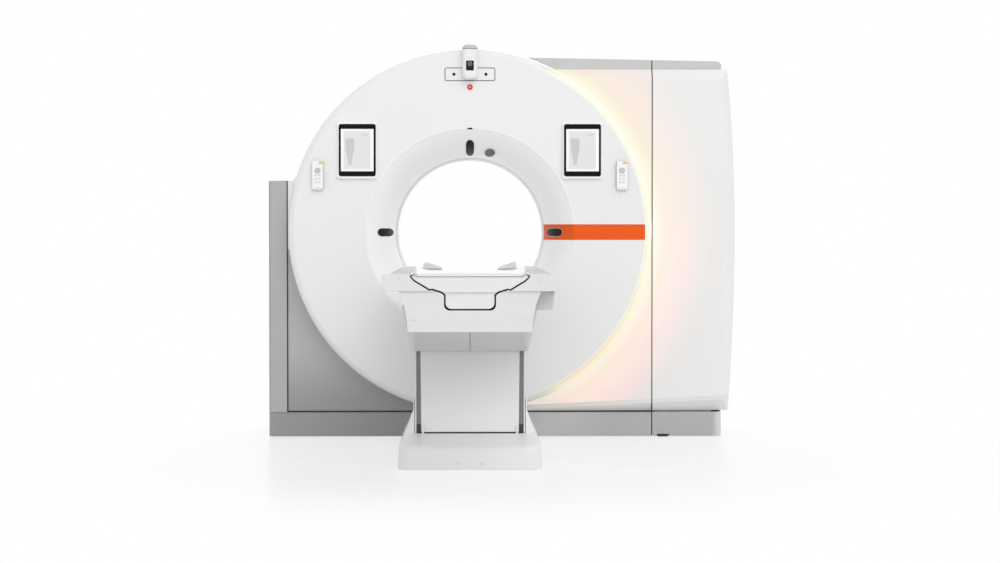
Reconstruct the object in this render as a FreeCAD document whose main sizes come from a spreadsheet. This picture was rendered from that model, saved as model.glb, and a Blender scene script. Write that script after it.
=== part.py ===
import FreeCAD, Part
import math
import os
import Sketcher
from FreeCAD import Placement, Rotation, Vector

# Whole-body scanner: a ring-shaped gantry in a wall-like housing and a lifting patient table.
# The origin is on the floor under the isocentre. X is to the right seen from the table,
# Y runs along the tunnel away from the table and Z is up. All lengths are in millimetres.

doc = FreeCAD.newDocument("ct_scanner")
sheet = doc.addObject("Spreadsheet::Sheet", "sizes")
pieces = []


class Size:
    # A length that keeps its formula, so that a shape stays tied to the table of sizes.
    def __init__(self, formula, number):
        self.formula = formula
        self.number = number

    def join(self, sign, other, number):
        return Size(f"({self.formula} {sign} {formula_of(other)})", number)

    def __add__(self, other):
        return self.join("+", other, self.number + number_of(other))

    def __sub__(self, other):
        return self.join("-", other, self.number - number_of(other))

    def __mul__(self, other):
        return self.join("*", other, self.number * number_of(other))

    def __truediv__(self, other):
        return self.join("/", other, self.number / number_of(other))

    def __radd__(self, other):
        return self + other

    def __rmul__(self, other):
        return self * other

    def __rsub__(self, other):
        return Size(f"({other} - {self.formula})", other - self.number)

    def __neg__(self):
        return Size(f"(0 - {self.formula})", -self.number)


def formula_of(value):
    return value.formula if isinstance(value, Size) else f"({value})" if value < 0 else f"{value}"


def number_of(value):
    return value.number if isinstance(value, Size) else value


def add_sizes(**values):
    # Each size gets its own row of the sheet and comes back under its own name.
    for name, value in values.items():
        row = add_sizes.rows = add_sizes.rows + 1
        sheet.set(f"A{row}", name)
        sheet.set(f"B{row}", str(value))
        sheet.setAlias(f"B{row}", name)
        setattr(size, name, Size(f"sizes.{name}", value))


class Table:
    pass


size = Table()
add_sizes.rows = 0


def bind(thing, name, value):
    if isinstance(value, Size):
        thing.setExpression(name, value.formula)
    else:
        setattr(thing, name, value)


def place(thing, x=0, y=0, z=0, axis=(0, 0, 1), angle=0):
    # The turn is a plain number of degrees, and each shift may be a size.
    shift = Vector(number_of(x), number_of(y), number_of(z))
    thing.Placement = Placement(shift, Rotation(Vector(*axis), angle))
    for name, value in zip("xyz", (x, y, z)):
        if isinstance(value, Size):
            thing.setExpression(f"Placement.Base.{name}", value.formula)
    return thing


def keep(thing, label):
    # Marks a finished sub-part, which is written to a file of its own.
    thing.Label = label
    pieces.append(thing)
    return thing


def box(x, y, z, label="block"):
    # A block from its low and high corner along each axis.
    block = doc.addObject("Part::Box", label)
    for name, (low, high) in zip(("Length", "Width", "Height"), (x, y, z)):
        bind(block, name, high - low)
    return place(block, x[0], y[0], z[0])


def cylinder(radius, length, x=0, y=0, z=0, axis="y", label="rod"):
    # A cylinder from its start point, along +X, +Y or +Z.
    rod = doc.addObject("Part::Cylinder", label)
    bind(rod, "Radius", radius)
    bind(rod, "Height", length)
    turns = {"x": ((0, 1, 0), 90), "y": ((1, 0, 0), -90), "z": ((0, 0, 1), 0)}
    return place(rod, x, y, z, *turns[axis])


def cut(base, tool, label="trimmed"):
    result = doc.addObject("Part::Cut", label)
    result.Base = base
    result.Tool = tool
    return result


def common(base, tool, label="shared"):
    result = doc.addObject("Part::Common", label)
    result.Base = base
    result.Tool = tool
    return result


def fuse(things, label="joined"):
    result = doc.addObject("Part::MultiFuse", label)
    result.Shapes = things
    result.Refine = True
    return result


def group(things, label="set"):
    # Separate solids of one kind that share a sub-part.
    result = doc.addObject("Part::Compound", label)
    result.Links = things
    return result


def mirrored(thing, label="mirrored"):
    # The same piece on the other side of the tunnel's centre plane.
    result = doc.addObject("Part::Mirroring", label)
    result.Source = thing
    result.Normal = Vector(1, 0, 0)
    return result


def arc_between(start, stop, radius):
    # A positive radius turns left on the way from start to stop, a negative one turns right.
    chord = stop - start
    side = Vector(-chord.y, chord.x, 0).normalize() * math.copysign(1, radius)
    sagitta = abs(radius) - math.sqrt(max(radius ** 2 - (chord.Length / 2) ** 2, 0))
    return Part.Arc(start, (start + stop) / 2 - side * sagitta, stop)


def draw_loop(sketch, corners):
    # A closed outline: each corner is (across, up), or (across, up, radius) after an arc.
    first = sketch.GeometryCount
    spots = [Vector(number_of(corner[0]), number_of(corner[1]), 0) for corner in corners]
    starts = []
    for index, start in enumerate(spots):
        after = (index + 1) % len(spots)
        stop = spots[after]
        if len(corners[after]) == 2:
            sketch.addGeometry(Part.LineSegment(start, stop))
            starts.append(1)
        else:
            sketch.addGeometry(arc_between(start, stop, number_of(corners[after][2])))
            starts.append(1 if number_of(corners[after][2]) > 0 else 2)
    for index, corner in enumerate(corners):
        line = first + index
        before = first + (index - 1) % len(corners)
        before_end = 3 - starts[index - 1]
        sketch.addConstraint(Sketcher.Constraint("Coincident", before, before_end, line, starts[index]))
        fix_point(sketch, line, starts[index], corner)
        radius = abs(number_of(corner[2])) if len(corner) == 3 else 0
        if (spots[index] - spots[index - 1]).Length < number_of(size.turnLimit) * radius:
            spot = sketch.addConstraint(Sketcher.Constraint("Radius", before, radius))
            if isinstance(corner[2], Size):
                sign = "0 - " if corner[2].number < 0 else ""
                sketch.setExpression(f"Constraints[{spot}]", f"{sign}{corner[2].formula}")


def fix_point(sketch, line, end, corner):
    for kind, axis, value in (("DistanceX", -2, corner[0]), ("DistanceY", -1, corner[1])):
        if number_of(value) == 0:
            sketch.addConstraint(Sketcher.Constraint("PointOnObject", line, end, axis))
            continue
        spot = sketch.addConstraint(Sketcher.Constraint(kind, -1, 1, line, end, number_of(value)))
        if isinstance(value, Size):
            sketch.setExpression(f"Constraints[{spot}]", value.formula)


def new_sketch(body, role, loops, offset=0):
    # A sketch on one of the body's own origin planes, moved along the plane's normal.
    sketch = body.newObject("Sketcher::SketchObject", "outline")
    flat = next(part for part in body.Origin.OriginFeatures if part.Role == role)
    sketch.AttachmentSupport = (flat, "")
    sketch.MapMode = "FlatFace"
    if number_of(offset) != 0:
        sketch.AttachmentOffset = Placement(Vector(0, 0, number_of(offset)), Rotation())
        if isinstance(offset, Size):
            sketch.setExpression("AttachmentOffset.Base.z", offset.formula)
    for loop in loops:
        draw_loop(sketch, loop)
    return sketch


def slab(role, loops, low, high, label="slab"):
    # Outlines made solid between two places along the plane's normal: +X, +Y or +Z.
    body = doc.addObject("PartDesign::Body", label)
    sketch = new_sketch(body, role, loops)
    pad = body.newObject("PartDesign::Pad", "thickness")
    pad.Profile = sketch
    bind(pad, "Length", high - low)
    pad.Reversed = role == "XZ_Plane"
    shift = {"XY_Plane": (0, 0, low), "XZ_Plane": (0, low, 0), "YZ_Plane": (low, 0, 0)}
    return place(body, *shift[role])


def turned(loops, label="ring", height=None):
    # Outlines of radius and Y turned round an axis along Y, at the isocentre's height unless told otherwise.
    body = doc.addObject("PartDesign::Body", label)
    sketch = new_sketch(body, "XY_Plane", loops)
    ring = body.newObject("PartDesign::Revolution", "turn")
    ring.Profile = sketch
    ring.ReferenceAxis = (sketch, ["V_Axis"])
    ring.Angle = 360
    return place(body, 0, 0, height or size.isoHeight)


def there_and_back(outer, inner):
    # A band between two lines: out along one, then back along the other, whose arcs turn the other way.
    back = []
    for index in range(len(inner) - 1, -1, -1):
        after = inner[index + 1][2:] if index + 1 < len(inner) else ()
        back.append((*inner[index][:2], *(-radius for radius in after)))
    return outer + back


def both_sides(half):
    # Joins a right half outline, from bottom to top, with its mirror image.
    left = []
    for index in range(len(half) - 1, -1, -1):
        after = half[index + 1][2:] if index + 1 < len(half) else ()
        left.append((-half[index][0], half[index][1], *after))
    return half + left


def block_loop(x0, x1, y0, y1):
    return [(x0, y0), (x1, y0), (x1, y1), (x0, y1)]


def round_loop(x0, x1, y0, y1, radius):
    # A rectangle with equal rounded corners.
    return [(x0 + radius, y0, radius), (x1 - radius, y0), (x1, y0 + radius, radius), (x1, y1 - radius),
            (x1 - radius, y1, radius), (x0 + radius, y1), (x0, y1 - radius, radius), (x0, y0 + radius)]


def pill_loop(x0, x1, y0, y1):
    # Two half circles joined by straight sides along the longer way.
    if number_of(x1 - x0) > number_of(y1 - y0):
        radius = (y1 - y0) / 2
        return [(x0 + radius, y0, radius), (x1 - radius, y0), (x1 - radius, y1, radius), (x0 + radius, y1)]
    radius = (x1 - x0) / 2
    return [(x0, y0 + radius), (x1, y0 + radius, radius), (x1, y1 - radius), (x0, y1 - radius, radius)]


def lofted(role, sections, label="loft", hollow=None):
    # A straight-sided solid through outlines at several places along the plane's normal.
    body = doc.addObject("PartDesign::Body", label)
    for kind, rows in (("PartDesign::AdditiveLoft", sections), ("PartDesign::SubtractiveLoft", hollow)):
        if rows:
            sketches = [new_sketch(body, role, [loop], offset) for offset, loop in rows]
            loft = body.newObject(kind, "skin")
            loft.Profile = sketches[0]
            loft.Sections = sketches[1:]
            loft.Ruled = True
    return body


def rounded(body, radius, chosen):
    # Rounds the chosen edges of a body's last feature.
    doc.recompute()
    last = body.Tip
    edges = [f"Edge{index + 1}" for index, edge in enumerate(last.Shape.Edges) if chosen(edge)]
    fillet = body.newObject("PartDesign::Fillet", "rounding")
    fillet.Base = (last, edges)
    bind(fillet, "Radius", radius)
    return body


# ---- Gantry covers ----


add_sizes(
    isoHeight=960, rimHeight=968, faceDepth=430, boreRadius=350, tunnelHalf=175, funnelRadius=480,
    funnelCurve=420, faceRadius=816, ringRadius=844, rimDepth=48, rimCurve=60, skin=5, ringSeam=280,
    seamGap=2, linerSkin=4, windowHalf=45, windowLip=1, reach=3, past=1.15, turnLimit=1.99,
    funnelShift=0.7, rimShift=0.4)
add_sizes(
    wallDepth=300, pylonOuter=943, pylonInner=858, pylonTop=1201, pylonCorner=18, plinthLow=3,
    plinthTop=116, plinthDepth=296, plinthEnd=1184, plinthCorner=38, seamWidth=5, seamDepth=14,
    seamSink=1, seamLow=122, seamX=852, shoulderLow=880, shoulderTop=1264, shoulderReach=800,
    shoulderFoot=830, shoulderCurve=100, shoulderSink=2, shoulderThick=10, panelSink=5, panelSplit=2)
add_sizes(
    wallTop=1727, cornerDrop=27, bevelStart=13, bevelGrowth=0.0366, bevelBack=30, flange=70,
    cabinetLow=1219, cabinetMid=1250, cabinetHigh=1215, cabinetTopInset=11, cabinetCorner=60,
    capTop=1780, capEndTop=1763, capDepth=272, capEnd=1181, capStart=262, capCorner=24,
    undercutStart=71, undercutRise=0.0477, undercutSlope=1.6, undercutSkin=8)


def ring_tunnel(radius):
    # A round tool, level with the ring's rim, that clears the whole depth of the gantry.
    return cylinder(radius, size.faceDepth * size.reach, 0, -size.faceDepth * size.reach / 2, size.rimHeight)


def funnel_side(step):
    # Half section of the funnel's skin, from its throat to the face, drawn in by a step.
    s = size
    return [(s.boreRadius + step, -s.tunnelHalf),
            (s.funnelRadius + step * s.funnelShift, -s.faceDepth + step, s.funnelCurve)]


def rim_side(step):
    # Half section of the rim's skin, from the face to the seam, drawn in by a step.
    s = size
    return [(s.faceRadius - step * s.rimShift, -s.faceDepth + step),
            (s.ringRadius - step, -s.faceDepth + s.rimDepth + step * s.rimShift, s.rimCurve),
            (s.ringRadius - step, -s.ringSeam)]


def ring_shell():
    # The face and rim turned round the rim's axis, open where the funnel goes in lower down.
    s = size
    outer, inner = ([(s.boreRadius, -s.faceDepth + step)] + rim_side(step) for step in (0, s.skin))
    dish = turned([there_and_back(outer, inner)], "dish", s.rimHeight)
    mouth = turned([[
        (0, -s.faceDepth - s.skin), (s.funnelRadius, -s.faceDepth - s.skin), (s.funnelRadius, -s.faceDepth),
        (s.boreRadius, -s.tunnelHalf, -s.funnelCurve), (0, -s.tunnelHalf)]], "mouth")
    funnel = turned([there_and_back(funnel_side(0), funnel_side(s.skin))], "funnel")
    return fuse([cut(dish, mouth), funnel])


def build_ring_covers():
    s = size
    near = -s.pylonInner + s.seamWidth
    corners = [
        (near, s.shoulderLow), (-s.boreRadius * 2, s.shoulderLow), (-s.boreRadius * 2, s.shoulderTop),
        (-s.shoulderReach, s.shoulderTop), (-s.shoulderFoot, s.pylonTop, -s.shoulderCurve),
        (near, s.pylonTop)]
    front = -s.wallDepth + s.shoulderSink
    shoulder = cut(slab("XZ_Plane", [corners], front, front + s.shoulderThick),
                   ring_tunnel(s.ringRadius - s.skin))
    pocket_loop = round_loop(-s.plateHalf - s.plateGap, s.plateHalf + s.plateGap,
                             s.plateLow - s.plateGap, s.plateHigh + s.plateGap, s.plateCorner)
    pocket = slab("XZ_Plane", [pocket_loop], -s.faceDepth - s.skin, -s.faceDepth + s.plateSink)
    shell = ring_shell()
    keep(cut(fuse([shell, shoulder]), pocket), "front_cover")
    flipped = doc.addObject("Part::Mirroring", "rear_face")
    flipped.Source = shell
    flipped.Normal = Vector(0, 1, 0)
    side = turned([block_loop(s.ringRadius - s.skin, s.ringRadius, -s.ringSeam + s.seamGap, s.ringSeam)],
                  "side", s.rimHeight)
    keep(cut(fuse([flipped, side]), fuse(stator_feet(s.seamWidth))), "rear_cover")
    liner = [block_loop(s.boreRadius, s.boreRadius + s.linerSkin, -s.tunnelHalf, s.tunnelHalf),
             block_loop(s.boreRadius - s.windowLip, s.boreRadius, -s.windowHalf, s.windowHalf)]
    keep(fuse([turned([loop]) for loop in liner]), "tunnel_liner")


def barrel_block(inset):
    # The cabinet at the right end, with bowed side and rounded upright corners, drawn in by an inset.
    s = size
    low = s.seamLow - inset
    shoulder = s.wallTop - s.cornerDrop
    lower = s.isoHeight - s.seamLow
    lower_bow = s.cabinetMid - s.cabinetLow
    upper = shoulder - s.isoHeight
    upper_bow = s.cabinetMid - s.cabinetHigh
    corners = [
        (s.seamX + s.seamWidth - inset, low), (s.cabinetLow - inset, low),
        (s.cabinetMid - inset, s.isoHeight, (lower * lower + lower_bow * lower_bow) / (lower_bow * 2)),
        (s.cabinetHigh - inset, shoulder, (upper * upper + upper_bow * upper_bow) / (upper_bow * 2)),
        (s.cabinetHigh - s.cabinetTopInset - inset, s.wallTop - inset),
        (s.seamX + s.seamWidth - inset, s.wallTop - inset)]
    body = slab("XZ_Plane", [corners], -s.wallDepth + inset, s.wallDepth - inset, "barrel")
    return rounded(body, s.cabinetCorner - inset, is_bowed_edge)


def is_bowed_edge(edge):
    # The upright edges at the front and back of the cabinet's bowed side.
    spread = edge.BoundBox
    beyond = number_of(size.cabinetLow - size.cabinetCorner)
    return spread.YLength < 1 and spread.XMin > beyond and spread.ZLength > number_of(size.cabinetCorner)


def undercut_tool(raised):
    # Clears the slanted strip under the wall covers, which grows towards the right end.
    s = size
    sections = []
    for reach in (0, s.cabinetMid * s.past):
        edge = s.seamLow + (reach - s.undercutStart) * s.undercutRise + raised
        bottom = s.plinthTop - s.flange
        front = -s.wallDepth - s.skin
        top = edge + s.skin * s.undercutSlope
        sections.append((reach, [(front, bottom), (front + (top - bottom) / s.undercutSlope, bottom),
                                 (front, top)]))
    return lofted("YZ_Plane", sections, "undercut")


def bevel_tool(raised):
    # Clears the slanted strip along the top front edge of the wall covers, deeper towards the right end.
    s = size
    front = -s.wallDepth + raised
    top = s.wallTop - raised
    sections = []
    for reach in (0, s.cabinetMid * s.past):
        low = top - s.bevelStart - reach * s.bevelGrowth
        sections.append((reach, [
            (front - s.skin, low), (front, low), (front + s.bevelBack, top),
            (front + s.bevelBack, top + s.flange), (front - s.skin, top + s.flange)]))
    return lofted("YZ_Plane", sections, "bevel")


def build_wall():
    s = size
    low = s.seamLow
    outer = slab("YZ_Plane", [block_loop(-s.wallDepth, -s.wallDepth + s.flange, low, s.wallTop)],
                 s.panelSplit, s.seamX)
    outer = cut(cut(outer, undercut_tool(0)), bevel_tool(0))
    inner = slab("YZ_Plane", [block_loop(-s.wallDepth + s.skin, -s.wallDepth + s.flange * 2, low - s.flange,
                                         s.wallTop - s.skin)], -s.skin, s.seamX + s.skin)
    inner = cut(cut(inner, undercut_tool(s.undercutSkin)), bevel_tool(s.skin))
    keep(cut(cut(outer, inner), ring_tunnel(s.ringRadius + s.seamGap)), "glow_panel")
    cabinet = cut(cut(barrel_block(0), undercut_tool(0)), bevel_tool(0))
    room = cut(cut(barrel_block(s.skin), undercut_tool(s.undercutSkin)), bevel_tool(s.skin))
    keep(cut(cabinet, room), "cabinet_cover")
    grey = slab("XZ_Plane", [block_loop(-s.pylonInner + s.seamWidth, -s.panelSplit, low, s.shoulderLow)],
                -s.wallDepth + s.panelSink, -s.wallDepth + s.panelSink + s.skin)
    keep(cut(grey, ring_tunnel(s.ringRadius + s.seamGap)), "lower_panel")
    left = slab("XZ_Plane", [block_loop(-s.pylonInner + s.seamGap, -s.panelSplit, s.plinthTop, s.pylonTop)],
                s.wallDepth - s.skin, s.wallDepth)
    right = slab("XZ_Plane", [block_loop(s.panelSplit, s.seamX, s.plinthTop, s.wallTop)],
                 s.wallDepth - s.skin, s.wallDepth)
    keep(cut(group([left, right]), ring_tunnel(s.ringRadius + s.seamGap)), "rear_panels")


def build_pylon():
    s = size
    corner = s.pylonCorner
    x0, x1, depth = -s.pylonOuter, -s.pylonInner, s.wallDepth
    plan = [(x1, -depth), (x1, depth), (x0 + corner, depth), (x0, depth - corner, corner),
            (x0, -depth + corner), (x0 + corner, -depth, corner)]
    outer = slab("XY_Plane", [plan], s.plinthTop, s.pylonTop)
    room = box((x0 + s.skin, x1 + s.skin), (-depth + s.skin, depth - s.skin),
               (s.plinthLow, s.pylonTop - s.skin))
    keep(cut(outer, room), "pylon_cover")
    sink, depth_in = s.seamSink, s.seamDepth
    wall_front, cap_front = -s.wallDepth, -s.capDepth
    cap_slope = (s.capTop - s.capEndTop) / (s.capEnd - s.capStart)
    high = s.capTop - (s.seamX - s.capStart) * cap_slope - s.seamGap
    bend = s.wallTop - s.bevelStart - s.seamX * s.bevelGrowth
    upright = slab("YZ_Plane", [[
        (wall_front + sink, s.plinthTop), (wall_front + depth_in, s.plinthTop), (wall_front + depth_in, bend),
        (cap_front + depth_in, s.wallTop), (cap_front + depth_in, high), (cap_front + sink, high),
        (cap_front + sink, s.wallTop), (wall_front + sink, bend)]], s.seamX, s.seamX + s.seamWidth)
    strip = (wall_front + sink, wall_front + depth_in)
    trim = [upright,
            box((-s.pylonInner, -s.pylonInner + s.seamWidth), strip, (s.plinthTop, s.pylonTop)),
            box((-s.pylonInner, s.seamX), strip, (s.plinthTop, s.seamLow))]
    keep(cut(fuse(trim), ring_tunnel(s.ringRadius + s.seamGap)), "seam_trim")


def plinth_ring(x0, x1, inset, corner, left):
    # Plan of a skirt that wraps one end of the housing; the other end stays open.
    depth = size.plinthDepth - inset
    far, near = (x0, x1) if left else (x1, x0)
    turn = -corner if left else corner
    inward = corner if left else -corner
    return [(near, -depth), (far + inward, -depth), (far, -depth + corner, turn),
            (far, depth - corner), (far + inward, depth, turn), (near, depth)]


def build_plinths():
    s = size
    for label, x0, x1, corner, left in (
            ("plinth_left", -s.pylonOuter, s.seamX, s.pylonCorner, True),
            ("plinth_right", s.seamX + s.seamWidth, s.plinthEnd, s.plinthCorner, False)):
        outer = slab("XY_Plane", [plinth_ring(x0, x1, 0, corner, left)], s.plinthLow, s.plinthTop)
        inner_x = (x0 + s.skin, x1 + s.skin) if left else (x0 - s.skin, x1 - s.skin)
        inner = slab("XY_Plane", [plinth_ring(*inner_x, s.skin, corner - s.skin, left)],
                     s.plinthLow - s.skin, s.plinthTop + s.skin)
        skirt = cut(cut(outer, inner), ring_tunnel(s.ringRadius + s.seamGap))
        notches = [box((s.footX - s.footRadius - s.seamGap, s.footX + s.footRadius + s.seamGap), lane,
                       (-s.skin, s.footDisc + s.seamGap))
                   for lane in ((-s.wallDepth, -s.railOuter), (s.railOuter, s.wallDepth))]
        keep(skirt if left else cut(skirt, fuse(notches)), label)


def build_caps():
    s = size
    slope = (s.capTop - s.capEndTop) / (s.capEnd - s.capStart)
    for label, x0, x1, corner in (
            ("cap_left", s.capStart, s.seamX, 0),
            ("cap_right", s.seamX + s.seamWidth, s.capEnd, s.capCorner)):
        solids = []
        for inset in (0, s.skin):
            end = x1 - inset if corner else x1 + inset
            start = x0 - inset * 2
            high = s.capTop - (start - s.capStart) * slope - inset
            end_high = s.capTop - (end - s.capStart) * slope - inset
            corners = [(start, s.wallTop - inset), (end, s.wallTop - inset)]
            if corner:
                corners += [(end, end_high - corner), (end - corner, end_high, corner)]
            else:
                corners += [(end, end_high)]
            corners += [(start, high)]
            solids.append(slab("XZ_Plane", [corners], -s.capDepth + inset, s.capDepth - inset))
        keep(cut(cut(*solids), ring_tunnel(s.ringRadius + s.seamGap)), label)


# ---- Pieces on the ring's face ----

add_sizes(
    plateHalf=114, plateLow=1662, plateHigh=1718, plateCorner=9, plateGap=2, plateSink=3,
    podHalf=36, podLow=1664, podTop=1827, podReach=46, podBack=60, podNeck=26, podCorner=16, podEdge=22,
    lensHalf=18, lensLow=1704, lensHigh=1750, lensThick=2, lampZ=1631, lampRadius=13, lampThick=4,
    dotX=74, dotZ=1690, dotRadius=7, dotThick=2, layerThick=2, stripLow=925, stripHigh=997,
    pillHalf=18.5, pillNear=360, pillFar=428, grilleX=93, grilleZ=1332, grilleWide=24, grilleTall=17,
    slotHalf=12, slotZ=1436, slotTall=7, guideFrom=324, guideRadius=828,
    stripEnd=811)
add_sizes(
    tabletX=520, tabletZ=1339, holderHalf=92, holderTall=262, holderThick=14, holderCorner=12,
    tabletHalf=85, tabletTall=240, tabletThick=8, tabletCorner=9, rebate=4,
    remoteX=703, remoteZ=1223, remoteHalf=26, remoteTall=135, remoteThick=18, remoteCorner=9,
    jogRadius=13, jogRise=3, jogZ=22, jogTravel=1.5, buttonGap=0.5, keyHalf=9, keyTall=9, keyZ=58,
    keyX=14, keyDeep=4, keyRows=3, remoteEdge=4, smallKeyHalf=5.5, smallKeyTall=7,
    smallKeyPitch=16, smallKeyRise=1)


def face_layer(thick, label):
    # A thin layer on the ring's skin, from the funnel's throat to the face's edge.
    s = size
    outer, inner = (funnel_side(-step) + [(s.faceRadius, -s.faceDepth - step)] for step in (thick, 0))
    return turned([there_and_back(outer, inner)], label)


def prism(loop, label="prism"):
    # A straight tool along the tunnel, in front of the scan plane.
    s = size
    return slab("XZ_Plane", [loop], -s.faceDepth * s.past, -s.seamGap, label)


def build_ring_trim():
    s = size
    layer = face_layer(s.layerThick, "layer")
    strip_room = prism(block_loop(s.seamGap, s.stripEnd, s.stripLow, s.stripHigh))
    sideways = [prism(pill_loop(-s.pillFar, -s.pillNear, s.isoHeight - s.pillHalf, s.isoHeight + s.pillHalf)),
                prism(pill_loop(s.pillNear, s.pillFar, s.isoHeight - s.pillHalf, s.isoHeight + s.pillHalf)),
                prism(pill_loop(-s.pillHalf, s.pillHalf, s.isoHeight + s.pillNear, s.isoHeight + s.pillFar))]
    windows = [common(layer, tool) for tool in sideways]
    keep(group(windows), "laser_windows")
    strip = common(face_layer(s.layerThick / 2, "strip_layer"), strip_room)
    window_gap = prism(pill_loop(s.pillNear - s.seamGap, s.pillFar + s.seamGap,
                                 s.isoHeight - s.pillHalf - s.seamGap, s.isoHeight + s.pillHalf + s.seamGap))
    keep(cut(strip, window_gap), "accent_strip")
    oval = doc.addObject("Part::Ellipse", "oval")
    bind(oval, "MajorRadius", s.grilleWide)
    bind(oval, "MinorRadius", s.grilleTall)
    place(oval, s.grilleX, -s.faceDepth * s.past, s.grilleZ, (1, 0, 0), 90)
    bar = doc.addObject("Part::Extrusion", "oval_bar")
    bar.Base = oval
    bar.Dir = Vector(0, 1, 0)
    bind(bar, "LengthFwd", s.faceDepth)
    bar.Solid = True
    keep(common(layer, bar), "intercom_grille")
    slot = common(layer, prism(pill_loop(-s.slotHalf, s.slotHalf, s.slotZ, s.slotZ + s.slotTall)))
    dots = [cylinder(s.dotRadius, s.dotThick, side * s.dotX, -s.faceDepth - s.dotThick, s.dotZ)
            for side in (-1, 1)]
    keep(group([slot] + dots), "sensor_windows")
    rim = turned([there_and_back(rim_side(-s.layerThick), rim_side(0))], "rim_layer", s.rimHeight)
    hub = cylinder(s.guideRadius, s.faceDepth * 2, 0, -s.faceDepth * 2, s.rimHeight)
    ahead = box((s.guideFrom, s.ringRadius * s.past), (-s.faceDepth - s.skin, -s.wallDepth - s.skin * 2),
                (s.plinthTop, s.wallTop))
    keep(common(cut(rim, hub), ahead), "light_guide")


def build_camera():
    s = size
    plate_loop = round_loop(-s.plateHalf, s.plateHalf, s.plateLow, s.plateHigh, s.plateCorner - s.plateGap)
    keep(slab("XZ_Plane", [plate_loop], -s.faceDepth, -s.faceDepth + s.plateSink), "camera_plate")
    side = [
        (-s.faceDepth, s.podLow), (-s.faceDepth - s.podReach + s.podCorner, s.podLow),
        (-s.faceDepth - s.podReach, s.podLow + s.podCorner, -s.podCorner),
        (-s.faceDepth - s.podReach, s.podTop - s.podNeck),
        (-s.faceDepth - s.podReach + s.podNeck, s.podTop, -s.podNeck),
        (-s.faceDepth + s.podBack, s.podTop), (-s.faceDepth + s.podBack, s.podTop - s.podNeck),
        (-s.faceDepth, s.podTop - s.podNeck * 2)]
    pod = rounded(slab("YZ_Plane", [side], -s.podHalf, s.podHalf), s.podEdge, is_pod_edge)
    face = slab("XZ_Plane", [round_loop(-s.lensHalf, s.lensHalf, s.lensLow, s.lensHigh, s.plateGap * 2)],
                -s.faceDepth - s.podReach - s.skin, -s.faceDepth - s.podReach + s.lensThick)
    ring = turned([[(s.boreRadius, -s.faceDepth)] + rim_side(0) + [(s.boreRadius, -s.ringSeam)]],
                  "ring_form", s.rimHeight)
    keep(cut(cut(pod, face), ring), "camera_pod")
    keep(slab("XZ_Plane", [round_loop(-s.lensHalf, s.lensHalf, s.lensLow, s.lensHigh, s.plateGap * 2)],
              -s.faceDepth - s.podReach, -s.faceDepth - s.podReach + s.lensThick), "camera_window")
    keep(cylinder(s.lampRadius, s.lampThick, 0, -s.faceDepth - s.lampThick, s.lampZ), "alert_lamp")


def is_pod_edge(edge):
    # The long edges down the pod's front, on both sides.
    spread = edge.BoundBox
    return spread.XLength < 1 and spread.YMax < -number_of(size.faceDepth) - number_of(size.skin)


def is_front_edge(edge):
    # The edges round a plate's face nearest to the table, in the plate's own place.
    return edge.BoundBox.YMax < number_of(size.seamGap) / 2


def build_handhelds():
    s = size
    front = -s.faceDepth
    low = s.tabletZ - s.holderTall / 2
    floor = front - s.holderThick + s.rebate
    holders = []
    tablets = []
    remotes = []
    for side in (-1, 1):
        x = side * s.tabletX
        outer = slab("XZ_Plane", [round_loop(x - s.holderHalf, x + s.holderHalf, low, low + s.holderTall,
                                             s.holderCorner)], front - s.holderThick, front)
        rest = s.tabletZ - s.tabletTall / 2
        outline = round_loop(x - s.tabletHalf, x + s.tabletHalf, rest, rest + s.tabletTall, s.tabletCorner)
        seat = slab("XZ_Plane", [outline], front - s.holderThick - 1, floor)
        holders.append(cut(outer, seat))
        tablets.append(slab("XZ_Plane", [outline], floor - s.tabletThick, floor))
        remotes.append(build_remote(side))
    keep(group(holders), "tablet_holders")
    keep(group(tablets), "tablets")
    keep(group(remotes), "remotes")


def build_remote(side):
    # A hand control with wells for its jog button and its scan key, and membrane keys below them.
    s = size
    x = side * s.remoteX
    back = -s.faceDepth
    front = back - s.remoteThick
    low = s.remoteZ - s.remoteTall / 2
    case = rounded(slab("XZ_Plane", [round_loop(x - s.remoteHalf, x + s.remoteHalf, low, low + s.remoteTall,
                                                s.remoteCorner)], front, back), s.remoteEdge, is_front_edge)
    jog_z = s.remoteZ + s.jogZ
    key_z = s.remoteZ + s.keyZ - s.keyTall / 2
    well = cylinder(s.jogRadius + s.buttonGap, s.keyDeep, x, front, jog_z)
    slot = box((x + s.keyX - s.keyHalf - s.buttonGap, x + s.keyX + s.keyHalf + s.buttonGap),
               (front - 1, front + s.keyDeep), (key_z - s.buttonGap, key_z + s.keyTall + s.buttonGap))
    name = "left" if side < 0 else "right"
    keep(cylinder(s.jogRadius, s.jogRise + s.keyDeep - s.jogTravel - s.buttonGap, x, front - s.jogRise,
                  jog_z), f"jog_button_{name}")
    keep(box((x + s.keyX - s.keyHalf, x + s.keyX + s.keyHalf),
             (front - s.jogRise / 2, front + s.keyDeep - s.jogTravel - s.buttonGap),
             (key_z, key_z + s.keyTall)), f"scan_key_{name}")
    keys = []
    for row in range(number_of(s.keyRows)):
        for column in (-1, 1):
            middle = x + column * s.smallKeyPitch / 2
            base = s.remoteZ - s.smallKeyPitch * row - s.smallKeyTall / 2
            keys.append(box((middle - s.smallKeyHalf, middle + s.smallKeyHalf),
                            (front - s.smallKeyRise, front), (base, base + s.smallKeyTall)))
    bar_low = low + s.smallKeyTall
    keys.append(box((x - s.remoteHalf + s.remoteCorner, x + s.remoteHalf - s.remoteCorner),
                    (front - s.smallKeyRise, front), (bar_low, bar_low + s.smallKeyTall / 2)))
    return fuse([cut(cut(case, well), slot)] + keys)


# ---- Base, drive and rotor inside the gantry ----

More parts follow.
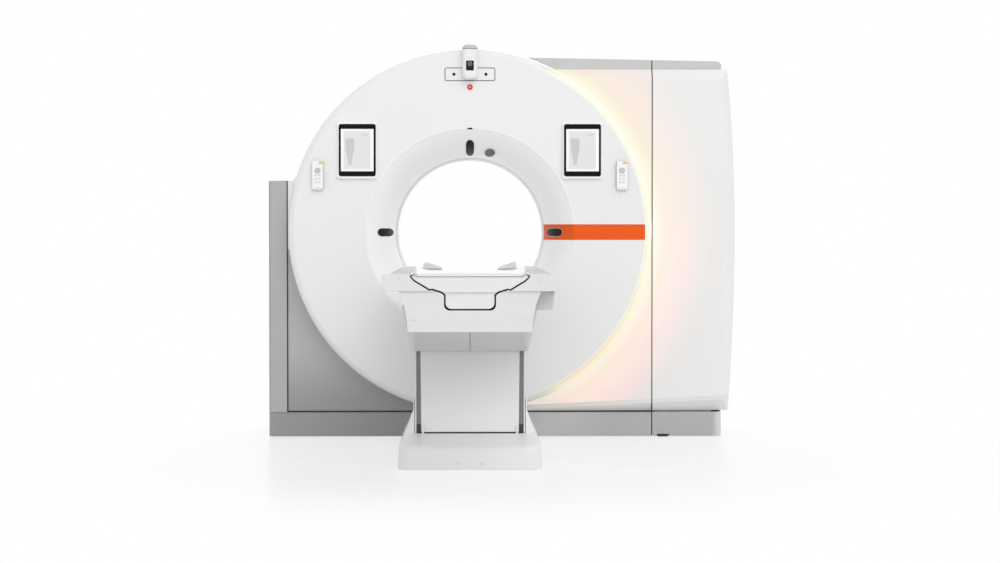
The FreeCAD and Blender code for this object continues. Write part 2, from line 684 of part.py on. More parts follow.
add_sizes(
    railStart=866, railEnd=1120, railInner=165, railOuter=245, railTop=90, anchorX=960, anchorShift=120,
    anchorY=210, anchorRadius=11, statorFootIn=420, statorFootOut=560, statorFootTop=470,
    footX=908, footY=277, footRadius=27, footDisc=9, studRadius=10, studTop=70, lugLow=40, lugTop=60,
    lugHalf=26, lugReach=43, endFootX=896, endFootY=205, beamWide=80, anchorDeep=3)
add_sizes(
    rotorInner=400, rotorRim=728, rimThick=20, rotorFront=2, rotorBack=100, plateFront=60, plateBack=80,
    hubInner=560, hubOuter=600, hubBack=175, raceInner=600, raceOuter=640, raceFront=120, raceBack=170,
    statorOuter=733, slipInner=480, slipBack=205, trackDepth=4, trackPitch=18, brushOut=700,
    brushArm=50, brushFront=206, brushBack=236, brushTall=60)
add_sizes(
    motorX=737, motorZ=692, motorRadius=48, motorBack=290, motorPlate=106, motorPlateIn=645,
    motorPlateOut=768, motorPlateLow=655, motorPlateTop=729, pulleyRadius=42, pulleyFront=72,
    pulleyBack=98, shaftRadius=10, shaftBack=145, shaftGap=0.05, shaftHole=12, beltFront=76,
    beltBack=94, beltThick=3, beltGap=0.3)
add_sizes(
    tubeZ=586, tubeRadius=105, tubeFront=130, tubeFlange=118, tubeFlangeDeep=40, collimatorHalf=120,
    collimatorLow=400, collimatorTop=466, collimatorFront=110, apertureHalf=90, apertureGap=12,
    generatorNear=460, generatorFar=640, generatorLow=-60, generatorTop=260, generatorFront=110,
    detectorNear=520, detectorFar=620, detectorFront=75, detectorReach=370, detectorDrop=640)
add_sizes(
    powerNear=872, powerFar=1140, powerDepth=230, powerTop=1250, drawerPitch=280, drawerGap=6,
    drawerDeep=12, fanX=1000, fanHalf=140, fanDeep=70, fanHole=132, fanRadius=126, fanHub=46,
    fanLow=18, fanThick=34, fanAxle=6, fanBladeWide=44, fanBladeThick=3, fanBladeTurn=32, strutHalf=8,
    strutTall=8, fanBlades=7, trackCount=5, drawers=4)


def build_base():
    s = size
    lanes = [(-s.railOuter, -s.railInner), (s.railInner, s.railOuter)]
    beams = [box((-s.railStart, s.railEnd), lane, (0, s.railTop)) for lane in lanes]
    crossings = [(-s.railStart, -s.railStart + s.beamWide), (-s.statorFootOut, -s.statorFootIn),
                 (-s.beamWide / 2, s.beamWide / 2), (s.statorFootIn, s.statorFootOut),
                 (s.railEnd - s.beamWide, s.railEnd)]
    beams += [box(crossing, (-s.railInner, s.railInner), (0, s.railTop)) for crossing in crossings]
    feet = []
    holes = []
    for side in (-1, 1):
        far = side * s.railOuter
        lug_y = (far - s.lugReach, far) if side < 0 else (far, far + s.lugReach)
        beams.append(box((s.footX - s.lugHalf, s.footX + s.lugHalf), lug_y, (s.lugLow, s.lugTop)))
        end_y = side * s.endFootY
        beams.append(box((-s.endFootX - s.lugHalf, -s.railStart), (end_y - s.lugHalf, end_y + s.lugHalf),
                         (s.lugLow, s.lugTop)))
        for x, y in ((s.footX, side * s.footY), (-s.endFootX, side * s.endFootY)):
            holes.append(cylinder(s.studRadius + s.buttonGap, s.studTop, x, y, 0, "z"))
            feet.append(fuse([cylinder(s.footRadius, s.footDisc, x, y, 0, "z"),
                              cylinder(s.studRadius, s.studTop, x, y, 0, "z")]))
        for across in (-1, 1):
            holes.append(cylinder(s.anchorRadius, s.railTop * s.anchorDeep,
                                  s.anchorShift + across * s.anchorX, side * s.anchorY, -s.railTop, "z"))
    keep(cut(fuse(beams), fuse(holes)), "base_frame")
    keep(group(feet), "levelling_feet")


def stator_feet(grow):
    s = size
    left = (-s.statorFootOut - grow, -s.statorFootIn + grow)
    right = (s.statorFootIn - grow, s.statorFootOut + grow)
    depth = (s.raceFront - grow, s.raceBack + grow)
    return [box(lane, depth, (s.railTop, s.statorFootTop)) for lane in (left, right)]


def build_drive():
    s = size
    ring = turned([block_loop(s.raceOuter, s.statorOuter, s.raceFront, s.raceBack)])
    brush = box((-s.brushOut, -s.slipInner - s.trackPitch), (s.brushFront, s.brushBack),
                (s.isoHeight - s.brushTall / 2, s.isoHeight + s.brushTall / 2))
    arm = box((-s.brushOut, -s.brushOut + s.brushArm), (s.raceBack, s.brushBack),
              (s.isoHeight - s.brushTall / 2, s.isoHeight + s.brushTall / 2))
    keep(fuse([ring, brush, arm] + stator_feet(0)), "stator_frame")
    race = block_loop(s.raceInner + s.shaftGap, s.raceOuter - s.shaftGap, s.raceFront, s.raceBack)
    keep(turned([race]), "bearing_race")
    body = cylinder(s.motorRadius, s.motorBack - s.raceFront, s.motorX, s.raceFront, s.motorZ)
    mount = box((s.motorPlateIn, s.motorPlateOut), (s.motorPlate, s.raceFront),
                (s.motorPlateLow, s.motorPlateTop))
    hole = cylinder(s.shaftHole, s.raceFront - s.motorPlate, s.motorX, s.motorPlate, s.motorZ)
    bore = cylinder(s.shaftRadius + s.shaftGap, s.shaftBack + s.skin - s.raceFront, s.motorX, s.raceFront,
                    s.motorZ)
    keep(cut(fuse([body, mount]), fuse([hole, bore])), "drive_motor")
    wheel = cylinder(s.pulleyRadius, s.pulleyBack - s.pulleyFront, s.motorX, s.pulleyFront, s.motorZ)
    shaft = cylinder(s.shaftRadius, s.shaftBack - s.pulleyFront, s.motorX, s.pulleyFront, s.motorZ)
    keep(fuse([wheel, shaft]), "motor_pulley")
    belt = doc.addObject("Part::Feature", "belt")
    outer = belt_face(s.beltGap + s.beltThick)
    belt.Shape = outer.cut(belt_face(s.beltGap)).extrude(Vector(0, number_of(s.beltBack - s.beltFront), 0))
    place(belt, 0, s.beltFront, s.isoHeight)
    keep(belt, "drive_belt")


def belt_face(rise):
    # The area inside a belt line that runs a rise above the rotor's rim and the pulley.
    big = number_of(size.rotorRim + rise)
    small = number_of(size.pulleyRadius + rise)
    far = Vector(number_of(size.motorX), 0, number_of(size.motorZ - size.isoHeight))
    heading = math.atan2(far.z, far.x)
    spread = math.acos((big - small) / far.Length)

    def on_circle(middle, radius, angle):
        return middle + Vector(math.cos(angle), 0, math.sin(angle)) * radius

    centre = Vector(0, 0, 0)
    high, low = heading + spread, heading - spread
    wrap = Part.Arc(on_circle(centre, big, high), on_circle(centre, big, heading + math.pi),
                    on_circle(centre, big, low))
    turn = Part.Arc(on_circle(far, small, low), on_circle(far, small, heading), on_circle(far, small, high))
    sides = [Part.LineSegment(on_circle(centre, big, low), on_circle(far, small, low)),
             Part.LineSegment(on_circle(far, small, high), on_circle(centre, big, high))]
    edges = [wrap.toShape(), sides[0].toShape(), turn.toShape(), sides[1].toShape()]
    return Part.Face(Part.Wire(edges))


def build_rotor():
    s = size
    web = s.rotorRim - s.rimThick
    keep(turned([[
        (s.rotorInner, s.plateFront), (web, s.plateFront), (web, s.rotorFront), (s.rotorRim, s.rotorFront),
        (s.rotorRim, s.rotorBack), (web, s.rotorBack), (web, s.plateBack), (s.hubOuter, s.plateBack),
        (s.hubOuter, s.hubBack), (s.hubInner, s.hubBack), (s.hubInner, s.plateBack),
        (s.rotorInner, s.plateBack)]]), "rotor_drum")
    ring = turned([block_loop(s.slipInner, s.hubOuter, s.hubBack, s.slipBack)])
    tracks = []
    for step in range(1, number_of(s.trackCount) + 1):
        start = s.slipInner + s.trackPitch * step
        tracks.append(turned([block_loop(start, start + s.trackPitch / 2, s.slipBack - s.trackDepth,
                                         s.slipBack + s.trackDepth)]))
    keep(cut(ring, group(tracks)), "slip_ring")
    tube_z = s.isoHeight + s.tubeZ
    tube = cylinder(s.tubeRadius, s.tubeFront + s.plateFront, 0, -s.tubeFront, tube_z)
    flange = cylinder(s.tubeFlange, s.tubeFlangeDeep, 0, s.plateFront - s.tubeFlangeDeep, tube_z)
    keep(fuse([tube, flange]), "xray_tube")
    body = box((-s.collimatorHalf, s.collimatorHalf), (-s.collimatorFront, s.plateFront),
               (s.isoHeight + s.collimatorLow, s.isoHeight + s.collimatorTop))
    slot = box((-s.apertureHalf, s.apertureHalf), (-s.apertureGap, s.apertureGap),
               (s.isoHeight + s.collimatorLow - 1, s.isoHeight + s.collimatorTop + 1))
    keep(cut(body, slot), "collimator")
    keep(box((-s.generatorFar, -s.generatorNear), (-s.generatorFront, s.plateFront),
             (s.isoHeight + s.generatorLow, s.isoHeight + s.generatorTop)), "hv_generator")
    ring = turned([block_loop(s.detectorNear, s.detectorFar, -s.detectorFront, s.plateFront)])
    fan_beam = slab("XZ_Plane", [[(0, s.isoHeight), (-s.detectorReach, s.isoHeight - s.detectorDrop),
                                  (s.detectorReach, s.isoHeight - s.detectorDrop)]],
                    -s.detectorFront * s.past, s.plateBack)
    keep(common(ring, fan_beam), "detector_arc")


def build_power():
    s = size
    body = box((s.powerNear, s.powerFar), (-s.powerDepth, s.powerDepth), (s.railTop, s.powerTop))
    slots = [box((s.powerNear - 1, s.powerFar + 1), (-s.powerDepth - 1, -s.powerDepth + s.drawerDeep),
                 (s.railTop + s.drawerPitch * step, s.railTop + s.drawerPitch * step + s.drawerGap))
             for step in range(1, number_of(s.drawers))]
    shroud = box((s.fanX - s.fanHalf, s.fanX + s.fanHalf), (-s.fanHalf, s.fanHalf),
                 (s.powerTop, s.powerTop + s.fanDeep))
    hole = cylinder(s.fanHole, s.fanDeep, s.fanX, 0, s.powerTop, "z")
    strut = box((s.fanX - s.fanHalf, s.fanX + s.fanHalf), (-s.strutHalf, s.strutHalf),
                (s.powerTop, s.powerTop + s.strutTall))
    axle = cylinder(s.fanAxle, s.fanLow + s.fanThick, s.fanX, 0, s.powerTop, "z")
    frame = cut(fuse([cut(body, fuse(slots)), shroud]), hole)
    keep(fuse([frame, strut, axle]), "power_unit")
    hub = cylinder(s.fanHub, s.fanThick, 0, 0, 0, "z")
    bore = cylinder(s.fanAxle + s.shaftGap, s.fanThick * 2, 0, 0, -s.fanThick / 2, "z")
    blades = []
    for step in range(number_of(s.fanBlades)):
        blade = doc.addObject("Part::Box", "blade")
        bind(blade, "Length", s.fanRadius - s.fanHub + s.skin)
        bind(blade, "Width", s.fanBladeWide)
        bind(blade, "Height", s.fanBladeThick)
        corner = Vector(number_of(s.fanHub - s.skin), number_of(-s.fanBladeWide / 2),
                        number_of(-s.fanBladeThick / 2))
        tilt = Placement(Vector(0, 0, 0), Rotation(Vector(1, 0, 0), number_of(s.fanBladeTurn)))
        spin = Placement(Vector(0, 0, number_of(s.fanThick / 2)),
                         Rotation(Vector(0, 0, 1), 360 / number_of(s.fanBlades) * step))
        blade.Placement = spin * tilt * Placement(corner, Rotation())
        blades.append(blade)
    rotor = cut(fuse([hub] + blades), bore)
    keep(place(rotor, s.fanX, 0, s.powerTop + s.fanLow), "fan_rotor")



# ---- Patient table ----

add_sizes(
    baseHalf=294, baseFront=1720, baseBack=880, baseCorner=60, roundLow=79, roundLowIn=4, roundMid=90,
    roundMidIn=8, roundMidSide=5, roundHigh=98, roundHighIn=18, roundHighSide=7, slopeTop=136,
    slopeHalf=269, slopeFront=1594, slopeBack=990, slopeCorner=40, flareMidZ=185,
    flareMid=249, flareBack=1030, flareCorner=26, flareTop=222, flareHalf=237, flareEnd=1055,
    flareTurn=14, collarLow=232, collarTop=281, collarHalf=232, collarFront=1593, collarBack=1064,
    collarCorner=8, baseSkin=6, shaftClear=2, tabIn=188, tabOut=197, tabFront=1597, tabBack=1591.5,
    tabTop=170, baseMarkX=47, baseMarkZ=25, baseMarkRadius=4)
add_sizes(
    floorPlateHalf=190, floorPlateFront=1560, floorPlateBack=1100, floorPlateThick=12, tableBoltX=160,
    tableBoltY=200, tableBoltRadius=7, columnY=1330, postHalf=130, postTop=400, postSkin=8,
    actuatorRadius=42, actuatorBore=34, actuatorTop=395, rodBottom=300)
add_sizes(
    sleeveHalf=226, sleeveFront=1590, sleeveBack=1070, sleeveLow=131, sleeveTop=535, sleeveSkin=6,
    panelLow=142, panelTopHalf=204, panelLowHalf=200, stripIn=220, sealThick=3, sealGap=1, capX=149,
    capHighZ=424, capLowZ=199, screwRadius=5, screwRise=1.5, guideInset=1, guideLow=140, guideTop=152)
add_sizes(
    housingLow=474, housingHigh=668, housingTop=664, housingLowHalf=239, housingLowFront=1604,
    housingLowBack=1054, housingHighHalf=270, housingHighFront=1960, housingHighBack=820, housingSkin=4,
    housingLowCorner=14, housingHighCorner=70, housingSeam=1)
add_sizes(
    carrierFront=2830, endDepth=60, endStep=8, carrierBack=560, ledgeHalf=313, ledgeTop=812,
    ledgeLow=752, ledgeCorner=11, ledgeLowCorner=8, ledgeRailHalf=308, ledgeRailTop=806,
    wallTopHalf=248, apronTopHalf=252, wallLowHalf=221, wallCurve=320, carrierLow=608, apronTurnIn=5,
    apronTurnUp=5, apronCorner=6, beamLow=614, beamLowHalf=208, beamTop=676, hollowTopHalf=218, wellGap=8,
    runnerIn=36, runnerOut=60)
add_sizes(
    couchHalf=206, couchBase=690, keelHalf=86, keelCorner=20, keelTop=740, wingIn=98, wingInZ=751,
    notchIn=133, notchInZ=762, notchOut=142, notchOutZ=759.5, wingMid=155, wingMidZ=768, wingOut=192,
    wingOutZ=790, wingLean=0.6, wingSink=0.8, couchGap=5.5, padLow=802, capThick=30, capCrease=748,
    cradleBack=580, bracketTop=752, bracketLow=683, bracketLowOut=293, bracketOut=303,
    bracketFront=2740, bracketBack=2640, latchX=200, latchZ=652, latchHalf=9, latchTall=8, latchRise=1.5)
add_sizes(
    padHalf=204, padFoot=198, padFront=2824, padBack=660, padEnd=20, padEndDrop=7, padSide=821,
    padSideCurve=60, padRim=842, padRimX=186, padRimCurve=30, padSeat=832, padSeatX=168, padWedgeX=97,
    wedgeTop=854, wedgePeakX=158, wedgeFront=2800, wedgeBack=2640, wedgeInset=1, restGap=0.3)


def base_stations():
    # Height, half width, front, back and corner radius of the base cover, from the floor to the collar.
    s = size
    return [
        (0, s.baseHalf, s.baseFront, s.baseBack, s.baseCorner),
        (s.roundLow, s.baseHalf - s.roundLowIn, s.baseFront - s.roundLowIn, s.baseBack + s.roundLowIn,
         s.baseCorner),
        (s.roundMid, s.baseHalf - s.roundMidSide, s.baseFront - s.roundMidIn, s.baseBack + s.roundMidIn,
         s.baseCorner),
        (s.roundHigh, s.baseHalf - s.roundHighSide, s.baseFront - s.roundHighIn, s.baseBack + s.roundHighIn,
         s.baseCorner),
        (s.slopeTop, s.slopeHalf, s.slopeFront, s.slopeBack, s.slopeCorner),
        (s.flareMidZ, s.flareMid, s.collarFront, s.flareBack, s.flareCorner),
        (s.flareTop, s.flareHalf, s.collarFront, s.flareEnd, s.flareTurn),
        (s.collarLow, s.collarHalf, s.collarFront, s.collarBack, s.collarCorner),
        (s.collarTop, s.collarHalf, s.collarFront, s.collarBack, s.collarCorner)]


def build_table_base():
    s = size
    outside = []
    inside = []
    for height, half, front, back, corner in base_stations():
        outside.append((height, round_loop(-half, half, -front, -back, corner)))
        inner = half - s.baseSkin
        inside.append((height - s.baseSkin, round_loop(-inner, inner, -(front - s.baseSkin),
                                                       -(back + s.baseSkin), corner - s.baseSkin)))
    cover = lofted("XY_Plane", outside)
    hollow_end = len(outside) - 2
    shaft_half = s.sleeveHalf + s.shaftClear
    shaft = box((-shaft_half, shaft_half), (-s.collarFront, -s.sleeveBack + s.shaftClear),
                (-s.skin, s.collarTop * 2))
    notch = box((-shaft_half, shaft_half), (-s.baseFront, -s.collarFront), (s.slopeTop, s.collarTop * 2))
    marks = [cylinder(s.baseMarkRadius, s.skin, side * s.baseMarkX, -s.baseFront - s.skin / 2, s.baseMarkZ)
             for side in (-1, 1)]
    shell = cut(cut(cover, lofted("XY_Plane", inside[:hollow_end])), fuse([shaft, notch] + marks))
    tabs = [box(lane, (-s.tabFront, -s.tabBack), (s.slopeTop - s.skin, s.tabTop))
            for lane in ((-s.tabOut, -s.tabIn), (s.tabIn, s.tabOut))]
    keep(fuse([shell] + tabs), "table_base_cover")
    plate = box((-s.floorPlateHalf, s.floorPlateHalf), (-s.floorPlateFront, -s.floorPlateBack),
                (0, s.floorPlateThick))
    holes = [cylinder(s.tableBoltRadius, s.floorPlateThick * s.reach, across * s.tableBoltX,
                      -s.columnY + along * s.tableBoltY, -s.floorPlateThick, "z")
             for across in (-1, 1) for along in (-1, 1)]
    keep(cut(plate, fuse(holes)), "table_base_plate")
    solids = []
    for half, top in ((s.postHalf, s.postTop), (s.postHalf - s.postSkin, s.postTop * 2)):
        solids.append(box((-half, half), (-s.columnY - half, -s.columnY + half), (s.floorPlateThick, top)))
    tube = cut(cylinder(s.actuatorRadius, s.actuatorTop - s.floorPlateThick, 0, -s.columnY,
                        s.floorPlateThick, "z"),
               cylinder(s.actuatorBore, s.actuatorTop * 2, 0, -s.columnY, 0, "z"))
    keep(group([cut(*solids), tube]), "guide_post")


def build_column():
    s = size
    front = -s.sleeveFront + s.sleeveSkin
    back = -s.sleeveBack
    outer = box((-s.sleeveHalf, s.sleeveHalf), (front, back), (s.sleeveLow, s.sleeveTop))
    room = box((-s.sleeveHalf + s.sleeveSkin, s.sleeveHalf - s.sleeveSkin),
               (front + s.sleeveSkin, back - s.sleeveSkin), (0, s.sleeveTop * 2))
    panel = slab("XZ_Plane", [[(-s.panelLowHalf, s.panelLow), (s.panelLowHalf, s.panelLow),
                               (s.panelTopHalf, s.sleeveTop), (-s.panelTopHalf, s.sleeveTop)]],
                 -s.sleeveFront, front)
    strips = [box(lane, (-s.sleeveFront, front), (s.sleeveLow, s.sleeveTop))
              for lane in ((-s.sleeveHalf, -s.stripIn), (s.stripIn, s.sleeveHalf))]
    caps = [cylinder(s.screwRadius, s.screwRise, side * s.capX, -s.sleeveFront - s.screwRise, height)
            for side in (-1, 1) for height in (s.capHighZ, s.capLowZ)]
    inset = s.guideInset
    opening = s.postHalf + s.shaftGap
    guide = cut(box((-s.sleeveHalf + inset, s.sleeveHalf - inset), (front + inset, back - inset),
                    (s.guideLow, s.guideTop)),
                box((-opening, opening), (-s.columnY - opening, -s.columnY + opening), (0, s.sleeveTop)))
    keep(fuse([cut(outer, room), panel, guide] + strips + caps), "column_sleeve")
    gap = s.sealGap
    right = slab("XZ_Plane", [[(s.panelLowHalf + gap, s.sleeveLow), (s.stripIn - gap, s.sleeveLow),
                               (s.stripIn - gap, s.sleeveTop), (s.panelTopHalf + gap, s.sleeveTop)]],
                 front - s.sealThick, front)
    low = box((-s.panelLowHalf, s.panelLowHalf), (front - s.sealThick, front),
              (s.sleeveLow + gap, s.panelLow - gap))
    keep(group([right, mirrored(right), low]), "column_seals")


def housing_loop(height, inset):
    # Plan of the tapered housing at a height; its ends slope more than its sides.
    s = size
    rise = (height - s.housingLow) / (s.housingHigh - s.housingLow)

    def between(low, high):
        return low + (high - low) * rise

    half = between(s.housingLowHalf, s.housingHighHalf) - inset
    front = between(s.housingLowFront, s.housingHighFront) - inset * 2
    back = between(s.housingLowBack, s.housingHighBack) + inset * 2
    return round_loop(-half, half, -front, -back, between(s.housingLowCorner, s.housingHighCorner) - inset)


def build_housing():
    s = size
    solids = []
    for inset, low, high in ((0, s.housingLow, s.housingHigh),
                             (s.housingSkin, s.housingLow - s.skin, s.housingTop)):
        solids.append(lofted("XY_Plane", [(height, housing_loop(height, inset)) for height in (low, high)]))
    middle = slab("XZ_Plane", [both_sides(beam_side())], -s.carrierFront, -s.carrierBack)
    shell = cut(cut(*solids), middle)
    for label, span in (("housing_left", (-s.ledgeHalf, -s.housingSeam)),
                        ("housing_right", (s.housingSeam, s.ledgeHalf))):
        half = box(span, (-s.carrierFront, -s.carrierBack), (s.housingLow - s.skin, s.housingHigh + s.skin))
        keep(common(shell, half), label)


def couch_side(grow):
    # Right half of the couch's underside, from the keel's flat to the top of the wing.
    s = size
    lean = grow * s.wingLean
    return [
        (s.keelHalf - s.keelCorner + grow, s.couchBase - grow),
        (s.keelHalf + grow, s.couchBase + s.keelCorner - grow, s.keelCorner),
        (s.keelHalf + grow, s.keelTop - grow / 2), (s.wingIn + lean, s.wingInZ - grow),
        (s.notchIn + lean / 2, s.notchInZ - grow), (s.notchOut + lean / 2, s.notchOutZ - grow),
        (s.wingMid + lean / 2, s.wingMidZ - grow), (s.wingOut + lean, s.wingOutZ - grow * s.wingSink),
        (s.couchHalf + grow, s.ledgeTop - s.couchGap * 2)]


def beam_half(height):
    # Half width of the carrier beam's sloping walls at a height.
    s = size
    rise = (height - s.beamLow) / (s.ledgeLow - s.beamLow)
    return s.beamLowHalf + (s.wallTopHalf - s.seamGap - s.beamLowHalf) * rise


def beam_side():
    # Right half of the carrier beam's outline, which its housing fits round.
    s = size
    lip = s.couchHalf + s.couchGap * 2
    return [(s.beamLowHalf, s.beamLow), (beam_half(s.ledgeLow), s.ledgeLow), (lip, s.ledgeLow),
            (lip, s.ledgeTop - s.skin)]


def build_carrier():
    s = size
    front = -s.carrierFront
    behind = front + s.endDepth
    back = -s.carrierBack
    corner = s.ledgeCorner
    under = s.ledgeLowCorner
    bar = [(s.ledgeHalf - under, s.ledgeLow), (s.ledgeHalf, s.ledgeLow + under, under),
           (s.ledgeHalf, s.ledgeTop - corner), (s.ledgeHalf - corner, s.ledgeTop, corner)]
    apron = [(s.wallLowHalf - s.apronTurnIn, s.carrierLow),
             (s.wallLowHalf, s.carrierLow + s.apronTurnUp, s.apronCorner),
             (s.apronTopHalf, s.ledgeLow, -s.wallCurve), (s.apronTopHalf, s.ledgeLow + s.skin)]
    trough_side = couch_side(s.couchGap) + [(s.couchHalf + s.couchGap, s.ledgeTop + s.skin)]
    trough = slab("XZ_Plane", [both_sides(trough_side)], front - s.skin, back + s.skin)
    end = fuse([slab("XZ_Plane", [both_sides(bar)], front, behind),
                slab("XZ_Plane", [both_sides(apron)], front + s.endStep, behind)])
    latches = []
    for side in (-1, 1):
        middle = side * s.latchX
        outline = pill_loop(middle - s.latchHalf, middle + s.latchHalf,
                            s.latchZ - s.latchTall / 2, s.latchZ + s.latchTall / 2)
        latches.append(slab("XZ_Plane", [outline], front + s.endStep - s.latchRise, front + s.endStep * 2))
    keep(fuse([cut(end, trough)] + latches), "carrier_cover")
    beam = slab("XZ_Plane", [both_sides(beam_side())], behind, back)
    floor_half = s.beamLowHalf - s.skin
    hollow = slab("XZ_Plane", [[(-floor_half, s.beamLow - s.skin), (floor_half, s.beamLow - s.skin),
                                (s.hollowTopHalf, s.beamTop), (-s.hollowTopHalf, s.beamTop)]],
                  behind + s.skin, back - s.skin)
    well = box((-s.ledgeHalf, s.ledgeHalf), (-s.sleeveFront - s.wellGap, -s.sleeveBack + s.wellGap),
               (s.beamLow - s.skin, s.housingHigh))
    runners = [box(lane, (behind, back), (s.beamTop, s.couchBase - s.shaftGap))
               for lane in ((-s.runnerOut, -s.runnerIn), (s.runnerIn, s.runnerOut))]
    rod = cylinder(s.actuatorBore - s.shaftGap, s.beamTop - s.rodBottom + s.seamGap, 0, -s.columnY,
                   s.rodBottom, "z")
    keep(fuse([cut(beam, fuse([trough, hollow, well])), rod] + runners), "carrier_beam")
    inner = s.couchHalf + s.couchGap * 2
    ledge = slab("XZ_Plane", [[
        (inner, s.ledgeLow), (s.ledgeRailHalf - corner, s.ledgeLow),
        (s.ledgeRailHalf, s.ledgeLow + corner, corner), (s.ledgeRailHalf, s.ledgeRailTop - corner),
        (s.ledgeRailHalf - corner, s.ledgeRailTop, corner), (inner, s.ledgeRailTop)]], behind, back)
    keep(group([ledge, mirrored(ledge)]), "ledge_rails")
    bracket = slab("XZ_Plane", [[
        (beam_half(s.bracketLow), s.bracketLow), (s.bracketLowOut, s.bracketLow),
        (s.bracketOut, s.bracketTop), (beam_half(s.bracketTop), s.bracketTop)]],
        -s.bracketFront, -s.bracketBack)
    pin = cylinder(s.screwRadius, s.skin * 2, s.bracketOut - s.screwRadius * 2, -s.bracketFront - s.skin,
                   s.bracketTop - s.screwRadius * 2)
    keep(fuse([bracket, pin]), "side_bracket")


def build_couch():
    s = size
    low_edge = couch_side(0)[:-1] + [(s.couchHalf, s.padLow)]
    front, behind = -s.carrierFront, -s.carrierFront + s.capThick
    crease = box((-s.couchHalf, s.couchHalf), (front - s.skin, front + s.endStep),
                 (s.couchBase - s.skin, s.capCrease))
    keep(cut(slab("XZ_Plane", [both_sides(low_edge)], front, behind), crease), "couch_end_cap")
    keep(slab("XZ_Plane", [both_sides(low_edge)], behind, -s.cradleBack), "couch_cradle")
    sections = []
    for along, drop in ((s.padFront, s.padEndDrop), (s.padFront - s.padEnd, 0),
                        (s.padBack + s.padEnd, 0), (s.padBack, s.padEndDrop)):
        sections.append((along, both_sides([
            (s.padFoot - drop, s.padLow), (s.padHalf - drop, s.padSide - drop, s.padSideCurve),
            (s.padRimX - drop, s.padRim - drop, s.padRimCurve), (s.padSeatX - drop, s.padSeat - drop),
            (s.padWedgeX - drop, s.padSeat - drop)])))
    keep(lofted("XZ_Plane", sections), "mattress")
    seat = s.padSeat + s.restGap
    wedge = slab("XZ_Plane", [[(s.padWedgeX, seat), (s.padSeatX - s.wedgeInset, seat),
                               (s.wedgePeakX, s.wedgeTop)]], -s.wedgeFront, -s.wedgeBack)
    keep(group([wedge, mirrored(wedge)]), "support_wedges")


# ---- Build, check and write ----

for build in (build_ring_covers, build_wall, build_pylon, build_plinths, build_caps, build_ring_trim,
              build_camera, build_handhelds, build_base, build_drive, build_rotor, build_power,
              build_table_base, build_column, build_housing, build_carrier, build_couch):
    build()
doc.recompute()

for thing in doc.Objects:
    if "Invalid" in thing.State or "Error" in thing.State:
        raise RuntimeError(f"{thing.Label}: {thing.State}")
for piece in pieces:
    if piece.Shape.isNull() or not piece.Shape.isValid():
        raise RuntimeError(f"{piece.Label}: not a valid shape")

os.makedirs("parts", exist_ok=True)
for piece in pieces:
    piece.Shape.exportStep(f"parts/{piece.Label}.step")
    spread = piece.Shape.BoundBox
    print(f"{piece.Label}: {len(piece.Shape.Solids)} solids, {piece.Shape.Volume / 1e6:.3f} litres,"
          f" x {spread.XMin:.1f} {spread.XMax:.1f} y {spread.YMin:.1f} {spread.YMax:.1f}"
          f" z {spread.ZMin:.1f} {spread.ZMax:.1f}")
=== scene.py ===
import math
import bmesh
import bpy
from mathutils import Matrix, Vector


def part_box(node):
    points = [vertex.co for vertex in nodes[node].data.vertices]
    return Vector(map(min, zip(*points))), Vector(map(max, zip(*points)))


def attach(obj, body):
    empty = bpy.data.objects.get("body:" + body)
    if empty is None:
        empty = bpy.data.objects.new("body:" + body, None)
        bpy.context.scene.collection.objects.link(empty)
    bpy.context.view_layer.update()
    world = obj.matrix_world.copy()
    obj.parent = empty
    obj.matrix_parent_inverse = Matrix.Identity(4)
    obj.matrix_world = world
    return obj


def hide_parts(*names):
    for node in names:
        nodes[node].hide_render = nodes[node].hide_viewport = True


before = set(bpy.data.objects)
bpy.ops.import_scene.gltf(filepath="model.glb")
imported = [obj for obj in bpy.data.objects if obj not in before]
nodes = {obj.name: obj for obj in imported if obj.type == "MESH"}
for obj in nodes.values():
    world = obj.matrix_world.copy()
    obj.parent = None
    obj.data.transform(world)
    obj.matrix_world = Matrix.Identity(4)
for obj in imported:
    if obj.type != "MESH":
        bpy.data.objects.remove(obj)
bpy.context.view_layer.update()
print("frame loaded:", len(nodes), "nodes")


class Wire:
    # one output socket, so that shader maths reads as plain sums
    def __init__(self, graph, socket):
        self.graph = graph
        self.socket = socket

    def maths(self, operation, *values):
        return self.graph.node("ShaderNodeMath", {"operation": operation}, dict(enumerate(values)))

    def also(self, out):
        return Wire(self.graph, self.socket.node.outputs[out])

    def __add__(self, other):
        return self.maths("ADD", self, other)

    def __radd__(self, other):
        return self.maths("ADD", other, self)

    def __sub__(self, other):
        return self.maths("SUBTRACT", self, other)

    def __rsub__(self, other):
        return self.maths("SUBTRACT", other, self)

    def __mul__(self, other):
        return self.maths("MULTIPLY", self, other)

    def __rmul__(self, other):
        return self.maths("MULTIPLY", other, self)

    def __truediv__(self, other):
        return self.maths("DIVIDE", self, other)

    def __pow__(self, other):
        return self.maths("POWER", self, other)

    def __abs__(self):
        return self.maths("ABSOLUTE", self)

    def __gt__(self, other):
        return self.maths("GREATER_THAN", self, other)

    def __lt__(self, other):
        return self.maths("LESS_THAN", self, other)


